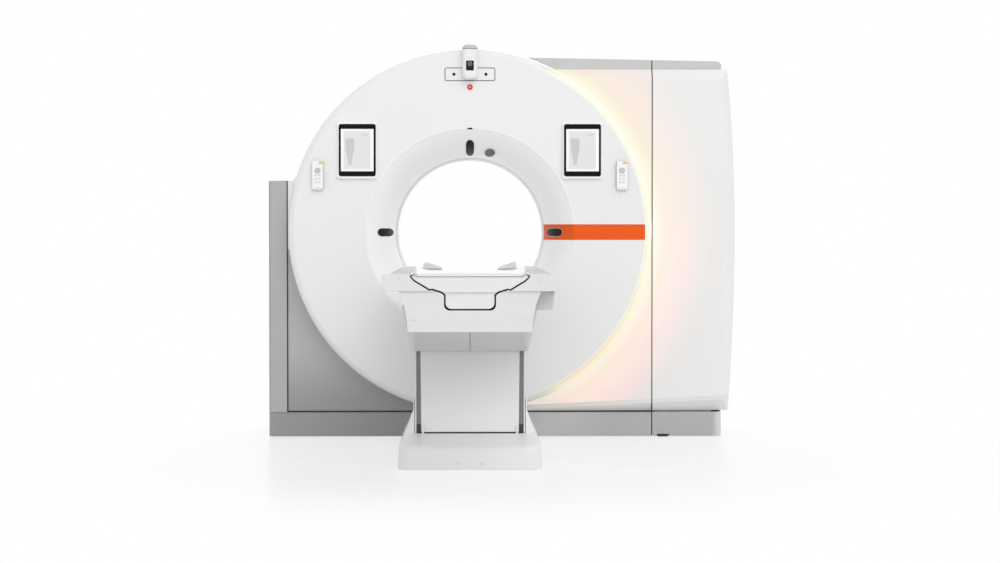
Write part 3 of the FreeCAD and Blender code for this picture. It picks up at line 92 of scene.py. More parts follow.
class Graph:
    # a node tree, with the one way in which it gets a node
    def __init__(self, tree):
        self.tree = tree

    def node(self, kind, settings=None, sockets=None, out=0):
        made = self.tree.nodes.new(kind)
        for key, value in (settings or {}).items():
            if key == "stops":
                ramp = made.color_ramp
                while len(ramp.elements) < len(value):
                    ramp.elements.new(1.0)
                for element, (at, colour) in zip(ramp.elements, value):
                    element.position = at
                    element.color = (*colour, 1)
            else:
                setattr(made, key, value)
        for key, value in (sockets or {}).items():
            self.feed(made.inputs[key], value)
        return Wire(self, made.outputs[out])

    def feed(self, socket, value):
        if isinstance(value, Wire):
            self.tree.links.new(value.socket, socket)
        else:
            socket.default_value = (*value, 1) if socket.type == "RGBA" and len(value) == 3 else value


class Finish(Graph):
    # one procedural material round the principled shader
    def __init__(self, name):
        self.material = bpy.data.materials.new(name)
        self.material.use_nodes = True
        Graph.__init__(self, self.material.node_tree)
        self.shader = self.tree.nodes["Principled BSDF"]
        self.place = self.node("ShaderNodeTexCoord", out="Object")
        self.x = self.node("ShaderNodeSeparateXYZ", {}, {"Vector": self.place})
        self.y = self.x.also("Y")
        self.z = self.x.also("Z")

    def noise(self, scale, detail=3.0, stretch=(1, 1, 1)):
        spot = self.node("ShaderNodeMapping", {}, {"Vector": self.place, "Scale": stretch})
        return self.node("ShaderNodeTexNoise", {}, {"Vector": spot, "Scale": scale, "Detail": detail})

    def span(self, value, low, high, start=0.0, end=1.0):
        # runs smoothly from start to end while value goes from low to high
        return self.node("ShaderNodeMapRange", {"interpolation_type": "SMOOTHSTEP"},
                         {0: value, 1: low, 2: high, 3: start, 4: end})

    def within(self, value, low, high, soft):
        # 1 between two limits, with soft shoulders
        return self.span(value, low - soft, low) * self.span(value, high, high + soft, 1.0, 0.0)

    def radius(self, centreX, centreZ):
        dx = self.x - centreX
        dz = self.z - centreZ
        return (dx * dx + dz * dz) ** 0.5

    def ramp(self, value, stops):
        return self.node("ShaderNodeValToRGB", {"stops": stops}, {"Fac": value})

    def blend(self, factor, first, second, way="MIX"):
        return self.node("ShaderNodeMix", {"data_type": "RGBA", "blend_type": way},
                         {0: factor, 6: first, 7: second}, out=2)

    def bump(self, height, strength, distance=0.001, edge=0.0):
        # relief, on top of a slightly rounded edge where edge is its radius
        sockets = {"Height": height, "Strength": strength, "Distance": distance}
        if edge:
            sockets["Normal"] = self.node("ShaderNodeBevel", {"samples": 4}, {"Radius": edge})
        return self.node("ShaderNodeBump", {}, sockets)

    def worn(self, paint, bare, amount, radius=0.004):
        # paint rubbed thin on convex edges
        bent = self.node("ShaderNodeBevel", {"samples": 4}, {"Radius": radius})
        flat = self.node("ShaderNodeNewGeometry", out="Normal")
        close = self.node("ShaderNodeVectorMath", {"operation": "DOT_PRODUCT"}, {0: bent, 1: flat},
                          out="Value")
        return self.blend(self.span(1 - close, 0.02, 0.3) * (self.noise(60) > 0.5) * amount, paint, bare)

    def set(self, **values):
        for name, value in values.items():
            self.feed(self.shader.inputs[name.replace("_", " ")], value)
        return self.material


def tinted(colour, factor):
    return tuple(min(part * factor, 1.0) for part in colour)


def paint(material, *names):
    for name in names:
        nodes[name].data.materials.clear()
        nodes[name].data.materials.append(material)


def addPiece(name, mesh, material, body):
    # links a finished mesh, which then moves with a body of the frame
    mesh.materials.clear()
    mesh.materials.append(material)
    shown = bpy.data.objects.new(name, mesh)
    bpy.context.scene.collection.objects.link(shown)
    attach(shown, body)
    return shown


def meshFrom(net, name, smooth=True):
    bmesh.ops.recalc_face_normals(net, faces=net.faces)
    for face in net.faces:
        face.smooth = smooth
    mesh = bpy.data.meshes.new(name)
    net.to_mesh(mesh)
    net.free()
    return mesh


def turnedRing(name, section, centre, steps):
    # a closed section of (radius, y) turned round an axis along Y through centre (x, z)
    net = bmesh.new()
    rows = []
    for step in range(steps):
        angle = 2 * math.pi * step / steps
        rows.append([net.verts.new((centre[0] + r * math.cos(angle), y, centre[1] + r * math.sin(angle)))
                     for r, y in section])
    for step in range(steps):
        here, ahead = rows[step], rows[(step + 1) % steps]
        for index in range(len(section)):
            after = (index + 1) % len(section)
            net.faces.new((here[index], here[after], ahead[after], ahead[index]))
    return meshFrom(net, name)


def roundCorners(x0, x1, z0, z1, radius, steps=6):
    # outline of a rectangle with round corners, as (x, z)
    outline = []
    for index, (x, z) in enumerate(((x1 - radius, z1 - radius), (x0 + radius, z1 - radius),
                                    (x0 + radius, z0 + radius), (x1 - radius, z0 + radius))):
        for step in range(steps + 1):
            angle = math.pi / 2 * (index + step / steps)
            outline.append((x + radius * math.cos(angle), z + radius * math.sin(angle)))
    return outline


def raisedPlate(name, outline, back, front, edge):
    # a plate along Y between back and front, whose front edge is rounded over
    middleX = sum(x for x, z in outline) / len(outline)
    middleZ = sum(z for x, z in outline) / len(outline)
    net = bmesh.new()
    rows = []
    turns = [(back, 0.0)]
    for step in range(5):
        angle = step * math.pi / 8
        turns.append((front + edge * (1 - math.sin(angle)), edge * (1 - math.cos(angle))))
    for y, inset in turns:
        row = []
        for x, z in outline:
            away = Vector((middleX - x, middleZ - z))
            step = away.normalized() * inset
            row.append(net.verts.new((x + step.x, y, z + step.y)))
        rows.append(row)
    count = len(outline)
    for here, ahead in zip(rows, rows[1:]):
        for index in range(count):
            after = (index + 1) % count
            net.faces.new((here[index], here[after], ahead[after], ahead[index]))
    net.faces.new(rows[0])
    net.faces.new(list(reversed(rows[-1])))
    return meshFrom(net, name, smooth=False)


def tubeAlong(name, points, radius, closed=True):
    # a round bead along a line of points
    curve = bpy.data.curves.new(name, "CURVE")
    curve.dimensions = "3D"
    curve.bevel_depth = radius
    curve.bevel_resolution = 2
    line = curve.splines.new("POLY")
    line.points.add(len(points) - 1)
    for spot, place in zip(line.points, points):
        spot.co = (*place, 1)
    line.use_cyclic_u = closed
    holder = bpy.data.objects.new(name, curve)
    mesh = bpy.data.meshes.new_from_object(holder)
    bpy.data.objects.remove(holder)
    for polygon in mesh.polygons:
        polygon.use_smooth = True
    return mesh


view = {"distance": 10.43, "height": 0.96, "pixels": 2160.0, "centreX": 470.0, "centreY": 232.3,
        "imageWide": 1000.0, "imageTall": 563.0}
# key and front are as even as daylight, so that the table gets no more than the gantry
lamps = {"key": {"kind": "SUN", "at": (2.4, -5.6, 5.0), "to": (0, 0, 0), "size": 0.7, "power": 0.62,
                 "tint": (1, 0.99, 0.98)},
         "front": {"kind": "SUN", "at": (0.6, -8.0, 0.9), "to": (0, 0, 0), "size": 1.2, "power": 0.56,
                   "tint": (1, 1, 1)},
         "back": {"kind": "AREA", "at": (0, 4.2, 3.2), "to": (0, 0, 1.0), "size": 3.4, "power": 90,
                  "tint": (1, 1, 1)}}
studio = {"ambient": 0.80, "floorTone": 0.9, "floorMottle": 1.012, "floorShine": 0.3,
          "floorRough": (0.2, 0.25), "floorLift": 0.66, "floorSpan": (1.0, 2.6), "floorMiddle": (0.1, -1.15),
          "floorSize": 40.0, "floorDrop": 0.0005}


def aim(thing, target):
    thing.rotation_euler = (Vector(target) - thing.location).to_track_quat("-Z", "Y").to_euler()


def buildCamera():
    data = bpy.data.cameras.new("camera")
    camera = bpy.data.objects.new("camera", data)
    bpy.context.scene.collection.objects.link(camera)
    data.sensor_width = 36
    data.lens = view["pixels"] / view["imageWide"] * 36
    data.clip_end = 100
    camera.location = (0, -view["distance"], view["height"])
    right = (view["imageWide"] / 2 - view["centreX"]) / view["pixels"]
    down = (view["imageTall"] / 2 - view["centreY"]) / view["pixels"]
    aim(camera, camera.location + Vector((right, 1, -down)))
    bpy.context.scene.camera = camera


def buildLamps():
    for name, values in lamps.items():
        data = bpy.data.lights.new(name, values["kind"])
        if values["kind"] == "SUN":
            data.angle = values["size"]
        else:
            data.shape = "DISK"
            data.size = values["size"]
        data.energy = values["power"]
        data.color = values["tint"]
        lamp = bpy.data.objects.new(name, data)
        bpy.context.scene.collection.objects.link(lamp)
        lamp.location = values["at"]
        aim(lamp, values["to"])


def whiteRays(graph):
    # 1 for rays that should meet a plain white studio: straight, mirrored or through glass
    path = graph.node("ShaderNodeLightPath", out="Is Camera Ray")
    seen = path.maths("MAXIMUM", path, path.also("Is Glossy Ray"))
    return path.maths("MAXIMUM", seen, path.also("Is Transmission Ray"))


def buildWorld():
    world = bpy.data.worlds.new("studio")
    bpy.context.scene.world = world
    world.use_nodes = True
    sky = Graph(world.node_tree)
    dim = sky.node("ShaderNodeBackground", {}, {"Color": (1, 1, 1), "Strength": studio["ambient"]})
    white = sky.node("ShaderNodeBackground", {}, {"Color": (1, 1, 1), "Strength": 1.0})
    both = sky.node("ShaderNodeMixShader", {}, {0: whiteRays(sky), 1: dim, 2: white})
    sky.feed(sky.tree.nodes["World Output"].inputs["Surface"], both)


def buildFloor():
    reach = studio["floorSize"]
    net = bmesh.new()
    net.faces.new([net.verts.new((x * reach, y * reach, 0)) for x, y in ((-1, -1), (1, -1), (1, 1), (-1, 1))])
    mesh = meshFrom(net, "floor", smooth=False)
    floor = bpy.data.objects.new("floor", mesh)
    bpy.context.scene.collection.objects.link(floor)
    floor.location.z = -studio["floorDrop"]
    f = Finish("studio_floor")
    tone = (studio["floorTone"],) * 3
    f.set(Base_Color=f.blend(f.noise(0.7, 2), tone, tinted(tone, studio["floorMottle"])),
          Specular_IOR_Level=studio["floorShine"],
          Roughness=f.span(f.noise(3, 2), 0.3, 0.7, *studio["floorRough"]))
    dx, dy = f.x - studio["floorMiddle"][0], f.y - studio["floorMiddle"][1]
    away = (dx * dx + dy * dy) ** 0.5
    lift = f.span(away, *studio["floorSpan"], studio["floorLift"], 1.0)
    glow = f.node("ShaderNodeEmission", {}, {"Color": (1, 1, 1), "Strength": 1.0})
    plain = Wire(f, f.shader.outputs[0])
    both = f.node("ShaderNodeMixShader", {}, {0: lift * whiteRays(f), 1: plain, 2: glow})
    f.feed(f.tree.nodes["Material Output"].inputs["Surface"], both)
    mesh.materials.append(f.material)


bpy.context.scene.view_settings.view_transform = "Standard"
buildCamera()
buildLamps()
buildWorld()
buildFloor()
print("studio ready")


lacquer = {"peelScale": 420, "peel": 0.05, "peelDepth": 0.0006, "edge": 0.0025, "coatRough": 0.12,
           "hazeScale": 9, "wiped": (1, 1, 3), "hazeSpan": (0.35, 0.75), "toneScale": 2.2,
           "toneSpan": (0.3, 0.7)}


def lacquered(f, tone, low, high, coat, edge=lacquer["edge"], streak=(1, 1, 1), shine=0.5):
    # the clear coat that all painted covers share: faint orange peel and a wiped haze from low to high
    haze = f.span(f.noise(lacquer["hazeScale"], 4, stretch=streak), *lacquer["hazeSpan"], low, high)
    peel = f.bump(f.noise(lacquer["peelScale"], 1), lacquer["peel"], lacquer["peelDepth"], edge)
    return f.set(Base_Color=tone, Roughness=haze, Coat_Weight=coat, Coat_Roughness=lacquer["coatRough"],
                 Specular_IOR_Level=shine, Normal=peel)


def coverPaint(name, colour, rough=0.34, mottle=0.012, coat=0.25, edge=lacquer["edge"], shine=0.5):
    # sprayed and lacquered plastic with a slight drift of tone
    f = Finish(name)
    drift = f.span(f.noise(lacquer["toneScale"], 2), *lacquer["toneSpan"])
    tone = f.blend(drift, tinted(colour, 1 - mottle), tinted(colour, 1 + mottle))
    return lacquered(f, tone, rough - 0.04, rough + 0.08, coat, edge, lacquer["wiped"], shine)


def mouldedPlastic(name, colour, rough=0.5, grain=0.12, grainScale=380):
    # textured moulding: fine leather grain and a little change of tone
    f = Finish(name)
    cells = f.node("ShaderNodeTexVoronoi", {"feature": "SMOOTH_F1"}, {"Vector": f.place, "Scale": grainScale})
    tone = f.blend(f.noise(5, 3), tinted(colour, 0.965), tinted(colour, 1.03))
    return f.set(Base_Color=tone, Roughness=f.span(f.noise(14, 3), 0.3, 0.7, rough - 0.05, rough + 0.06),
                 Normal=f.bump(cells, grain, 0.0004))


def metalFinish(name, colour, rough=0.35, brush=(1, 1, 60)):
    # machined or brushed metal, with its lines across the stretched way
    f = Finish(name)
    lines = f.noise(30, 4, stretch=brush)
    tone = f.blend(lines, tinted(colour, 0.86), tinted(colour, 1.1))
    return f.set(Base_Color=tone, Metallic=1.0, Roughness=f.span(lines, 0.3, 0.7, rough - 0.08, rough + 0.1),
                 Normal=f.bump(lines, 0.1, 0.0005))


def powderCoat(name, colour, rough=0.55):
    # pebbled coat on welded and cast frames, rubbed bare on its edges
    f = Finish(name)
    tone = f.blend(f.noise(4, 3), tinted(colour, 0.9), tinted(colour, 1.12))
    return f.set(Base_Color=f.worn(tone, (0.32, 0.32, 0.33), 0.5),
                 Normal=f.bump(f.noise(700, 2), 0.18, 0.0008),
                 Roughness=f.span(f.noise(10, 2), 0.3, 0.7, rough - 0.06, rough + 0.08))


def darkGlass(name, colour=(0.006, 0.006, 0.008), rough=0.16, shine=0.14):
    # smoked window with a faint smear
    f = Finish(name)
    smear = f.noise(35, 4, stretch=(1, 1, 2))
    return f.set(Base_Color=f.blend(smear, colour, tinted(colour, 1.8)), Specular_IOR_Level=shine,
                 Roughness=f.span(smear, 0.4, 0.8, rough, rough + 0.1))


tones = {"holder": (0.93, 0.932, 0.932), "face": (0.80, 0.802, 0.802), "funnel": (0.94, 0.942, 0.942),
         "grey": (0.43, 0.435, 0.442), "greyShadedLow": (0.30, 0.304, 0.312), "pylon": (0.405, 0.41, 0.415),
         "cap": (0.53, 0.535, 0.538), "plinth": (0.405, 0.41, 0.417), "plinthShade": (0.295, 0.299, 0.307),
         "plinthNearLit": (0.49, 0.495, 0.50), "plinthEnd": (0.62, 0.622, 0.625), "wall": (0.78, 0.76, 0.74),
         "cabinet": (0.79, 0.785, 0.78), "table": (0.82, 0.822, 0.822), "carrier": (0.70, 0.702, 0.702),
         "couch": (0.74, 0.742, 0.742), "ledge": (0.50, 0.502, 0.505), "housing": (0.61, 0.612, 0.615),
         "column": (0.70, 0.702, 0.703), "columnLow": (0.86, 0.862, 0.862), "seal": (0.19, 0.192, 0.195),
         "sealEnd": (0.03, 0.03, 0.032), "bracket": (0.60, 0.602, 0.605), "trim": (0.02, 0.02, 0.022),
         "trimShadeGrey": (0.42, 0.425, 0.43), "scuff": (0.25, 0.25, 0.25)}
# painted light of the guide on the wall, by distance from the rim and against the panel's own white: glow in
# the emission, warm tint in the base colour
wash = {"underTop": 0.137, "underRise": 0.0477, "underSoft": 0.004, "underLight": 0.18, "underShade": 0.60,
        "centreX": 0.0, "centreZ": 0.968, "rim": 0.844, "reach": 0.30,
        "stops": [(0.0, (0.20, 0.20, 0.12)), (0.13, (0.15, 0.15, 0.09)), (0.22, (0.15, 0.10, 0.055)),
                  (0.36, (0.15, 0.085, 0.06)), (0.47, (0.13, 0.06, 0.045)), (0.62, (0.10, 0.03, 0.018)),
                  (0.78, (0.05, 0.008, 0.005)), (1.0, (0.0, 0.0, 0.0))],
        "lowTint": (1.45, 1.38, 2.1), "low": 0.45, "high": 1.45, "guideTint": (0.92, 0.87, 0.80),
        "guideTintSpan": (0.12, 0.9), "boost": 1.3, "boostSpan": (0.15, 0.50), "frontSpan": (-0.26, -0.20)}
guide = {"strength": 0.54, "upper": (1.0, 0.985, 0.80), "lower": (1.0, 0.85, 0.60), "baseShare": 0.52,
         "warmSpan": (-0.55, 0.25), "fadeLow": (-0.80, -0.70), "fadeHigh": (0.69, 0.77)}
rimGuideGlow = {"inner": 0.812, "outer": 0.828, "spill": 0.02, "soft": 0.006, "colour": (0.92, 0.90, 0.78),
           "sideSpan": (0.25, 0.42), "faceSpan": (-0.26, -0.27)}
bore = {"x": 0.0, "z": 0.96, "funnelEdge": (0.47, 0.49)}
skirting = {"shadeSpan": (-0.10, 0.32), "nearLitSpan": (0.36, 0.70), "endHighlightSpan": (1.135, 1.175),
            "scuffSpan": (0.02, 0.07), "scuffShare": 0.06, "jointTop": (0.112, 0.114), "endX": (0.860, 0.862)}


def litPanel(name, colour):
    # white panel with the light guide's wash painted on: yellow at the rim, peach further out, plain beyond
    f = Finish(name)
    away = f.radius(wash["centreX"], wash["centreZ"]) - wash["rim"]
    light = f.ramp(away / wash["reach"], wash["stops"])
    low = f.span(f.z, wash["low"], wash["high"], 1.0, 0.0)
    warm = f.blend(low, light, f.blend(1.0, light, wash["lowTint"], way="MULTIPLY"))
    boost = f.span(f.z, *wash["boostSpan"], wash["boost"], 1.0)
    front = f.span(f.y, *wash["frontSpan"], 1.0, 0.0)
    # painted shade and a faint painted glow on the sloping underside, which only catches what the floor and
    # the skirting throw back
    above = f.x * wash["underRise"] + wash["underTop"] - f.z
    under = f.span(above, -wash["underSoft"], wash["underSoft"]) * front
    glow = f.blend(under, f.blend(front, (0, 0, 0), warm), (wash["underLight"],) * 3)
    gain = f.node("ShaderNodeCombineXYZ", {}, {0: boost, 1: boost, 2: boost})
    plain = f.blend(f.noise(lacquer["toneScale"], 2), tinted(colour, 0.99), tinted(colour, 1.01))
    # painted light: the base colour warms near the rim, where the guide's glow falls
    near = f.span(away / wash["reach"], *wash["guideTintSpan"], 1.0, 0.0)
    guideTinted = f.blend(near, plain, f.blend(1.0, plain, wash["guideTint"], way="MULTIPLY"))
    tone = f.blend(under, guideTinted, f.blend(1.0, guideTinted, (wash["underShade"],) * 3, way="MULTIPLY"))
    f.set(Emission_Color=f.blend(1.0, glow, gain, way="MULTIPLY"), Emission_Strength=1.0)
    return lacquered(f, tone, 0.34, 0.44, 0.2)


def guideLight(name):
    # frosted light guide, warm white above and pale amber below, fading into the rim at its ends
    f = Finish(name)
    height = f.z - wash["centreZ"]
    tone = f.blend(f.span(height, *guide["warmSpan"]), guide["lower"], guide["upper"])
    on = f.span(height, *guide["fadeLow"]) * f.span(height, *guide["fadeHigh"], 1.0, 0.0)
    frosted = f.blend(1.0, tone, (guide["baseShare"],) * 3, way="MULTIPLY")
    return f.set(Base_Color=f.blend(on, tones["face"], frosted), Emission_Color=f.blend(on, (0, 0, 0), tone),
                 Emission_Strength=guide["strength"], Roughness=f.span(f.noise(40, 2), 0.3, 0.7, 0.34, 0.42),
                 Normal=f.bump(f.noise(300, 2), 0.04, 0.0005))


def ringPaint(name, colour):
    # the ring's white lacquer, with the guide's light painted onto the rim beside it as a warm tint, and a
    # paler funnel as painted light
    f = Finish(name)
    away = f.radius(wash["centreX"], wash["centreZ"])
    # painted light: warm tint where the guide's glow falls on the rim
    edge = f.within(away, rimGuideGlow["inner"], rimGuideGlow["outer"] + rimGuideGlow["spill"], rimGuideGlow["soft"])
    side = f.span(f.x, *rimGuideGlow["sideSpan"]) * f.span(f.y, *rimGuideGlow["faceSpan"], 0.0, 1.0)
    drift = f.blend(f.noise(lacquer["toneScale"], 2), tinted(colour, 0.988), tinted(colour, 1.012))
    # painted light: the funnel gets a whiter tone than the face, lifting its shade
    inside = f.span(f.radius(bore["x"], bore["z"]), *bore["funnelEdge"], 1.0, 0.0)
    tone = f.blend(edge * side, f.blend(inside, drift, tones["funnel"]), rimGuideGlow["colour"])
    return lacquered(f, tone, 0.30, 0.42, 0.25, streak=lacquer["wiped"])


def heightShadedCover(name, low, high, heights, rough):
    # cover whose tone runs with height; on the grey panel and the column this is painted shade
    f = Finish(name)
    tone = f.blend(f.span(f.z, *heights), low, high)
    drift = f.span(f.noise(lacquer["toneScale"], 2), *lacquer["toneSpan"])
    mottled = f.blend(drift, f.blend(1.0, tone, (0.985,) * 3, way="MULTIPLY"), tone)
    return lacquered(f, mottled, rough - 0.04, rough + 0.08, 0.15, streak=lacquer["wiped"])


def plinthPaint(name):
    # grey skirting: painted shade on the side with less light, painted light beside the table, a painted
    # highlight at its rounded end, and scuffed near the floor
    f = Finish(name)
    streaks = f.span(f.noise(18, 4, stretch=(1, 1, 4)), 0.45, 0.75)
    scuff = streaks * f.span(f.z, *skirting["scuffSpan"], skirting["scuffShare"], 0.0)
    plain = f.blend(f.span(f.x, *skirting["nearLitSpan"]), tones["plinthNearLit"], tones["plinth"])
    grey = f.blend(f.span(f.x, *skirting["shadeSpan"]), tones["plinthShade"], plain)
    lit = f.blend(f.span(f.x, *skirting["endHighlightSpan"]), grey, tones["plinthEnd"])
    return lacquered(f, f.blend(scuff, lit, tones["scuff"]), 0.38, 0.5, 0.15)


def trimGapShade(name):
    # black strips in the joint gaps, standing in for their shadow, grey where that painted shade is lighter:
    # along the skirting's own seam and at its outer end
    f = Finish(name)
    ends = f.span(f.x, *skirting["endX"])
    joint = f.span(f.z, *skirting["jointTop"], 1.0, 0.0)
    tone = f.blend(ends.maths("MAXIMUM", ends, joint), tones["trim"], tones["trimShadeGrey"])
    rubbed = f.blend(f.noise(5, 3), (0.96,) * 3, (1.0,) * 3)
    return f.set(Base_Color=f.blend(1.0, tone, rubbed, way="MULTIPLY"),
                 Roughness=f.span(f.noise(14, 3), 0.3, 0.7, 0.55, 0.66),
                 Normal=f.bump(f.noise(380, 2), 0.12, 0.0004))


faceWhite = ringPaint("cover_white", tones["face"])
plainWhite = coverPaint("moulded_white", tones["face"], coat=0.2)
paint(faceWhite, "front_cover")
paint(plainWhite, "rear_cover", "tunnel_liner", "camera_plate")
paint(coverPaint("holder_white", tones["holder"], coat=0.2), "tablet_holders")
paint(litPanel("lit_wall", tones["wall"]), "glow_panel")
paint(litPanel("cabinet_white", tones["cabinet"]), "cabinet_cover")
# painted shade: the grey panel darkens towards the bottom
paint(heightShadedCover("cover_grey", tones["greyShadedLow"], tones["grey"], (0.12, 0.44), rough=0.4), "lower_panel")
paint(coverPaint("rear_grey", tones["grey"], rough=0.4, coat=0.15), "rear_panels")
paint(coverPaint("pylon_grey", tones["pylon"], rough=0.4, coat=0.15), "pylon_cover")
paint(plinthPaint("plinth_grey"), "plinth_left", "plinth_right")
paint(coverPaint("cap_grey", tones["cap"], rough=0.4, coat=0.15), "cap_left", "cap_right")
paint(guideLight("light_guide"), "light_guide")
blackRubber = mouldedPlastic("black_trim", (0.02, 0.02, 0.022), 0.6)
paint(blackRubber, "levelling_feet", "fan_rotor")
paint(trimGapShade("seam_trim"), "seam_trim")
orangeFilm = coverPaint("orange_film", (0.81, 0.104, 0.006), rough=0.5, mottle=0.006, coat=0.0, edge=0.0,
                        shine=0.2)
paint(orangeFilm, "accent_strip")
paint(darkGlass("dark_window"), "laser_windows", "sensor_windows", "camera_window")
print("gantry painted")

paint(powderCoat("frame_paint", (0.19, 0.2, 0.22)), "base_frame", "drive_motor", "table_base_plate",
      "guide_post")
paint(powderCoat("cast_paint", (0.32, 0.33, 0.34), 0.62), "stator_frame")
paint(metalFinish("alloy", (0.66, 0.67, 0.68)), "rotor_drum")
paint(metalFinish("steel", (0.55, 0.55, 0.56), 0.3), "bearing_race", "motor_pulley", "xray_tube",
      "collimator")
paint(metalFinish("copper_tracks", (0.75, 0.5, 0.3), 0.3, brush=(40, 1, 40)), "slip_ring")
paint(metalFinish("box_alloy", (0.5, 0.51, 0.52), 0.45, brush=(1, 30, 1)), "hv_generator", "detector_arc",
      "power_unit")
paint(mouldedPlastic("belt_rubber", (0.03, 0.03, 0.03), 0.75, 0.3, 225), "drive_belt")
print("machinery painted")

pod = {"capZ": 1.806, "capSoft": 0.001, "jointZ": 1.8045, "jointHalf": 0.0016,
       "cap": (0.50, 0.505, 0.51), "joint": (0.12, 0.12, 0.125), "lensX": 0.0, "lensZ": 1.735,
       "lensRadius": 0.0085, "lensTube": 0.0014, "domeRadius": 0.0062, "domeRise": 0.003,
       "domeSink": 0.0005, "point": 0.0002}
alert = {"z": 1.631, "core": 0.0045, "edge": 0.0065, "red": (0.60, 0.02, 0.035), "pale": (0.72, 0.30, 0.31)}
gapShade = {"half": 0.1155, "low": 1.6605, "high": 1.7195, "corner": 0.009, "radius": 0.0016}
boreLip = {"inner": 0.3500, "outer": 0.3565, "low": -0.1735, "high": -0.1815, "lean": 0.0005, "foot": 0.001,
            "colour": (0.33, 0.335, 0.34)}


def podPaint(name):
    # white housing with a grey cap over a fine dark joint
    f = Finish(name)
    shell = f.blend(f.span(f.z, pod["capZ"] - pod["capSoft"], pod["capZ"]), tones["face"], pod["cap"])
    joint = (abs(f.z - pod["jointZ"]) < pod["jointHalf"]) * 1.0
    return lacquered(f, f.blend(joint, shell, pod["joint"]), 0.32, 0.42, 0.2, edge=0.0)


def alertPaint(name):
    # red lens with a paler core
    f = Finish(name)
    away = f.radius(0.0, alert["z"])
    tone = f.blend(f.span(away, alert["core"], alert["edge"]), alert["pale"], alert["red"])
    return f.set(Base_Color=tone, Specular_IOR_Level=0.4,
                 Roughness=f.span(f.noise(60, 2), 0.3, 0.7, 0.2, 0.28))


def buildPodDetails():
    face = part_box("camera_window")[0].y
    spot = (pod["lensX"], pod["lensZ"])
    section = []
    for step in range(10):
        angle = 2 * math.pi * step / 10
        section.append((pod["lensRadius"] + pod["lensTube"] * math.cos(angle),
                        face - pod["lensTube"] * 0.5 + pod["lensTube"] * math.sin(angle)))
    ring = turnedRing("pod_lens_ring", section, spot, 32)
    addPiece("pod_lens_ring", ring, metalFinish("lens_ring_metal", (0.35, 0.35, 0.36), 0.3), "gantry")
    dome = []
    for step in range(6):
        angle = math.pi / 2 * step / 5
        dome.append((max(pod["domeRadius"] * math.cos(angle), pod["point"]),
                     face - pod["domeRise"] * math.sin(angle)))
    dome.append((pod["point"], face + pod["domeSink"]))
    dome.append((pod["domeRadius"], face + pod["domeSink"]))
    lens = turnedRing("pod_lens", dome, spot, 32)
    addPiece("pod_lens", lens, darkGlass("lens_glass", (0.03, 0.03, 0.045), 0.05, 0.8), "gantry")


def buildGapShade():
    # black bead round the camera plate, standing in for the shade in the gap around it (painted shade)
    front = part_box("camera_plate")[0].y
    outline = roundCorners(-gapShade["half"], gapShade["half"], gapShade["low"], gapShade["high"], gapShade["corner"])
    bead = tubeAlong("camera_gap_shade", [(x, front, z) for x, z in outline], gapShade["radius"])
    addPiece("camera_gap_shade", bead, mouldedPlastic("gap_shade_black", (0.05, 0.05, 0.052), 0.65), "gantry")


def buildBoreLip():
    # thin grey lip where the funnel meets the tunnel's window; its grey is painted shade of the throat's
    # rounded edge
    section = [(boreLip["inner"], boreLip["low"]), (boreLip["inner"], boreLip["high"]),
               (boreLip["outer"], boreLip["high"] - boreLip["lean"]),
               (boreLip["outer"] + boreLip["foot"], boreLip["low"])]
    lip = turnedRing("bore_lip", section, (bore["x"], bore["z"]), 160)
    addPiece("bore_lip", lip, mouldedPlastic("lip_shade_grey", boreLip["colour"], 0.6), "gantry")


paint(podPaint("pod_white"), "camera_pod")
paint(alertPaint("lamp_red"), "alert_lamp")
buildPodDetails()
buildGapShade()
buildBoreLip()
print("camera, lip and gap shade made")

screen = {"x": 0.520, "z": 1.339, "half": 0.0755, "tall": 0.0975, "corner": 0.002, "proud": 0.0006,
          "edge": 0.0003, "soft": 0.0008, "panelSide": (-0.062, 0.060), "panelTall": (-0.086, 0.086),
          "shapeX": 0.034, "shapeTall": (-0.066, 0.052), "shapeWide": (0.006, 0.019),
          "shapeSoft": (0.003, 0.004), "sunk": 0.001, "widenSpan": (-0.07, 0.02),
          "barSide": (0.022, 0.052), "barTall": (0.069, 0.0715),
          "page": (0.84, 0.845, 0.85), "panel": (0.70, 0.703, 0.706), "shape": (0.54, 0.545, 0.55),
          "bar": (0.45, 0.455, 0.46), "glow": 0.08}
remote = {"case": (0.88, 0.885, 0.88), "body": (0.36, 0.362, 0.365), "key": (0.66, 0.67, 0.685),
          "front": 0.0006, "rim": (0.0022, 0.0034)}


def screenPicture(name):
    # plain display: a page with a pale panel, one soft upright shape and a short bar
    f = Finish(name)
    side = (f.x > 0.0) * 2 - 1
    across = f.x - side * screen["x"]
    up = f.z - screen["z"]
    soft = screen["soft"]
    panel = f.within(across, *screen["panelSide"], soft) * f.within(up, *screen["panelTall"], soft)
    widen = f.span(up, *screen["widenSpan"], *screen["shapeWide"])
    beside = f.span(abs(across + screen["shapeX"]) - widen, 0.0, screen["shapeSoft"][0], 1.0, 0.0)
    upright = beside * f.within(up, *screen["shapeTall"], screen["shapeSoft"][1])
    bar = f.within(across, *screen["barSide"], soft) * f.within(up, *screen["barTall"], soft)
    page = f.blend(panel, screen["page"], screen["panel"])
    shaped = f.blend(upright, page, screen["shape"])
    grid = (f.noise(1500, 0) - 0.5) * 0.02
    tone = f.blend(bar * 0.9 + grid, shaped, screen["bar"])
    return f.set(Base_Color=tone, Emission_Color=tone, Emission_Strength=screen["glow"],
                 Specular_IOR_Level=0.2, Roughness=f.span(f.noise(30, 3), 0.3, 0.7, 0.16, 0.24))


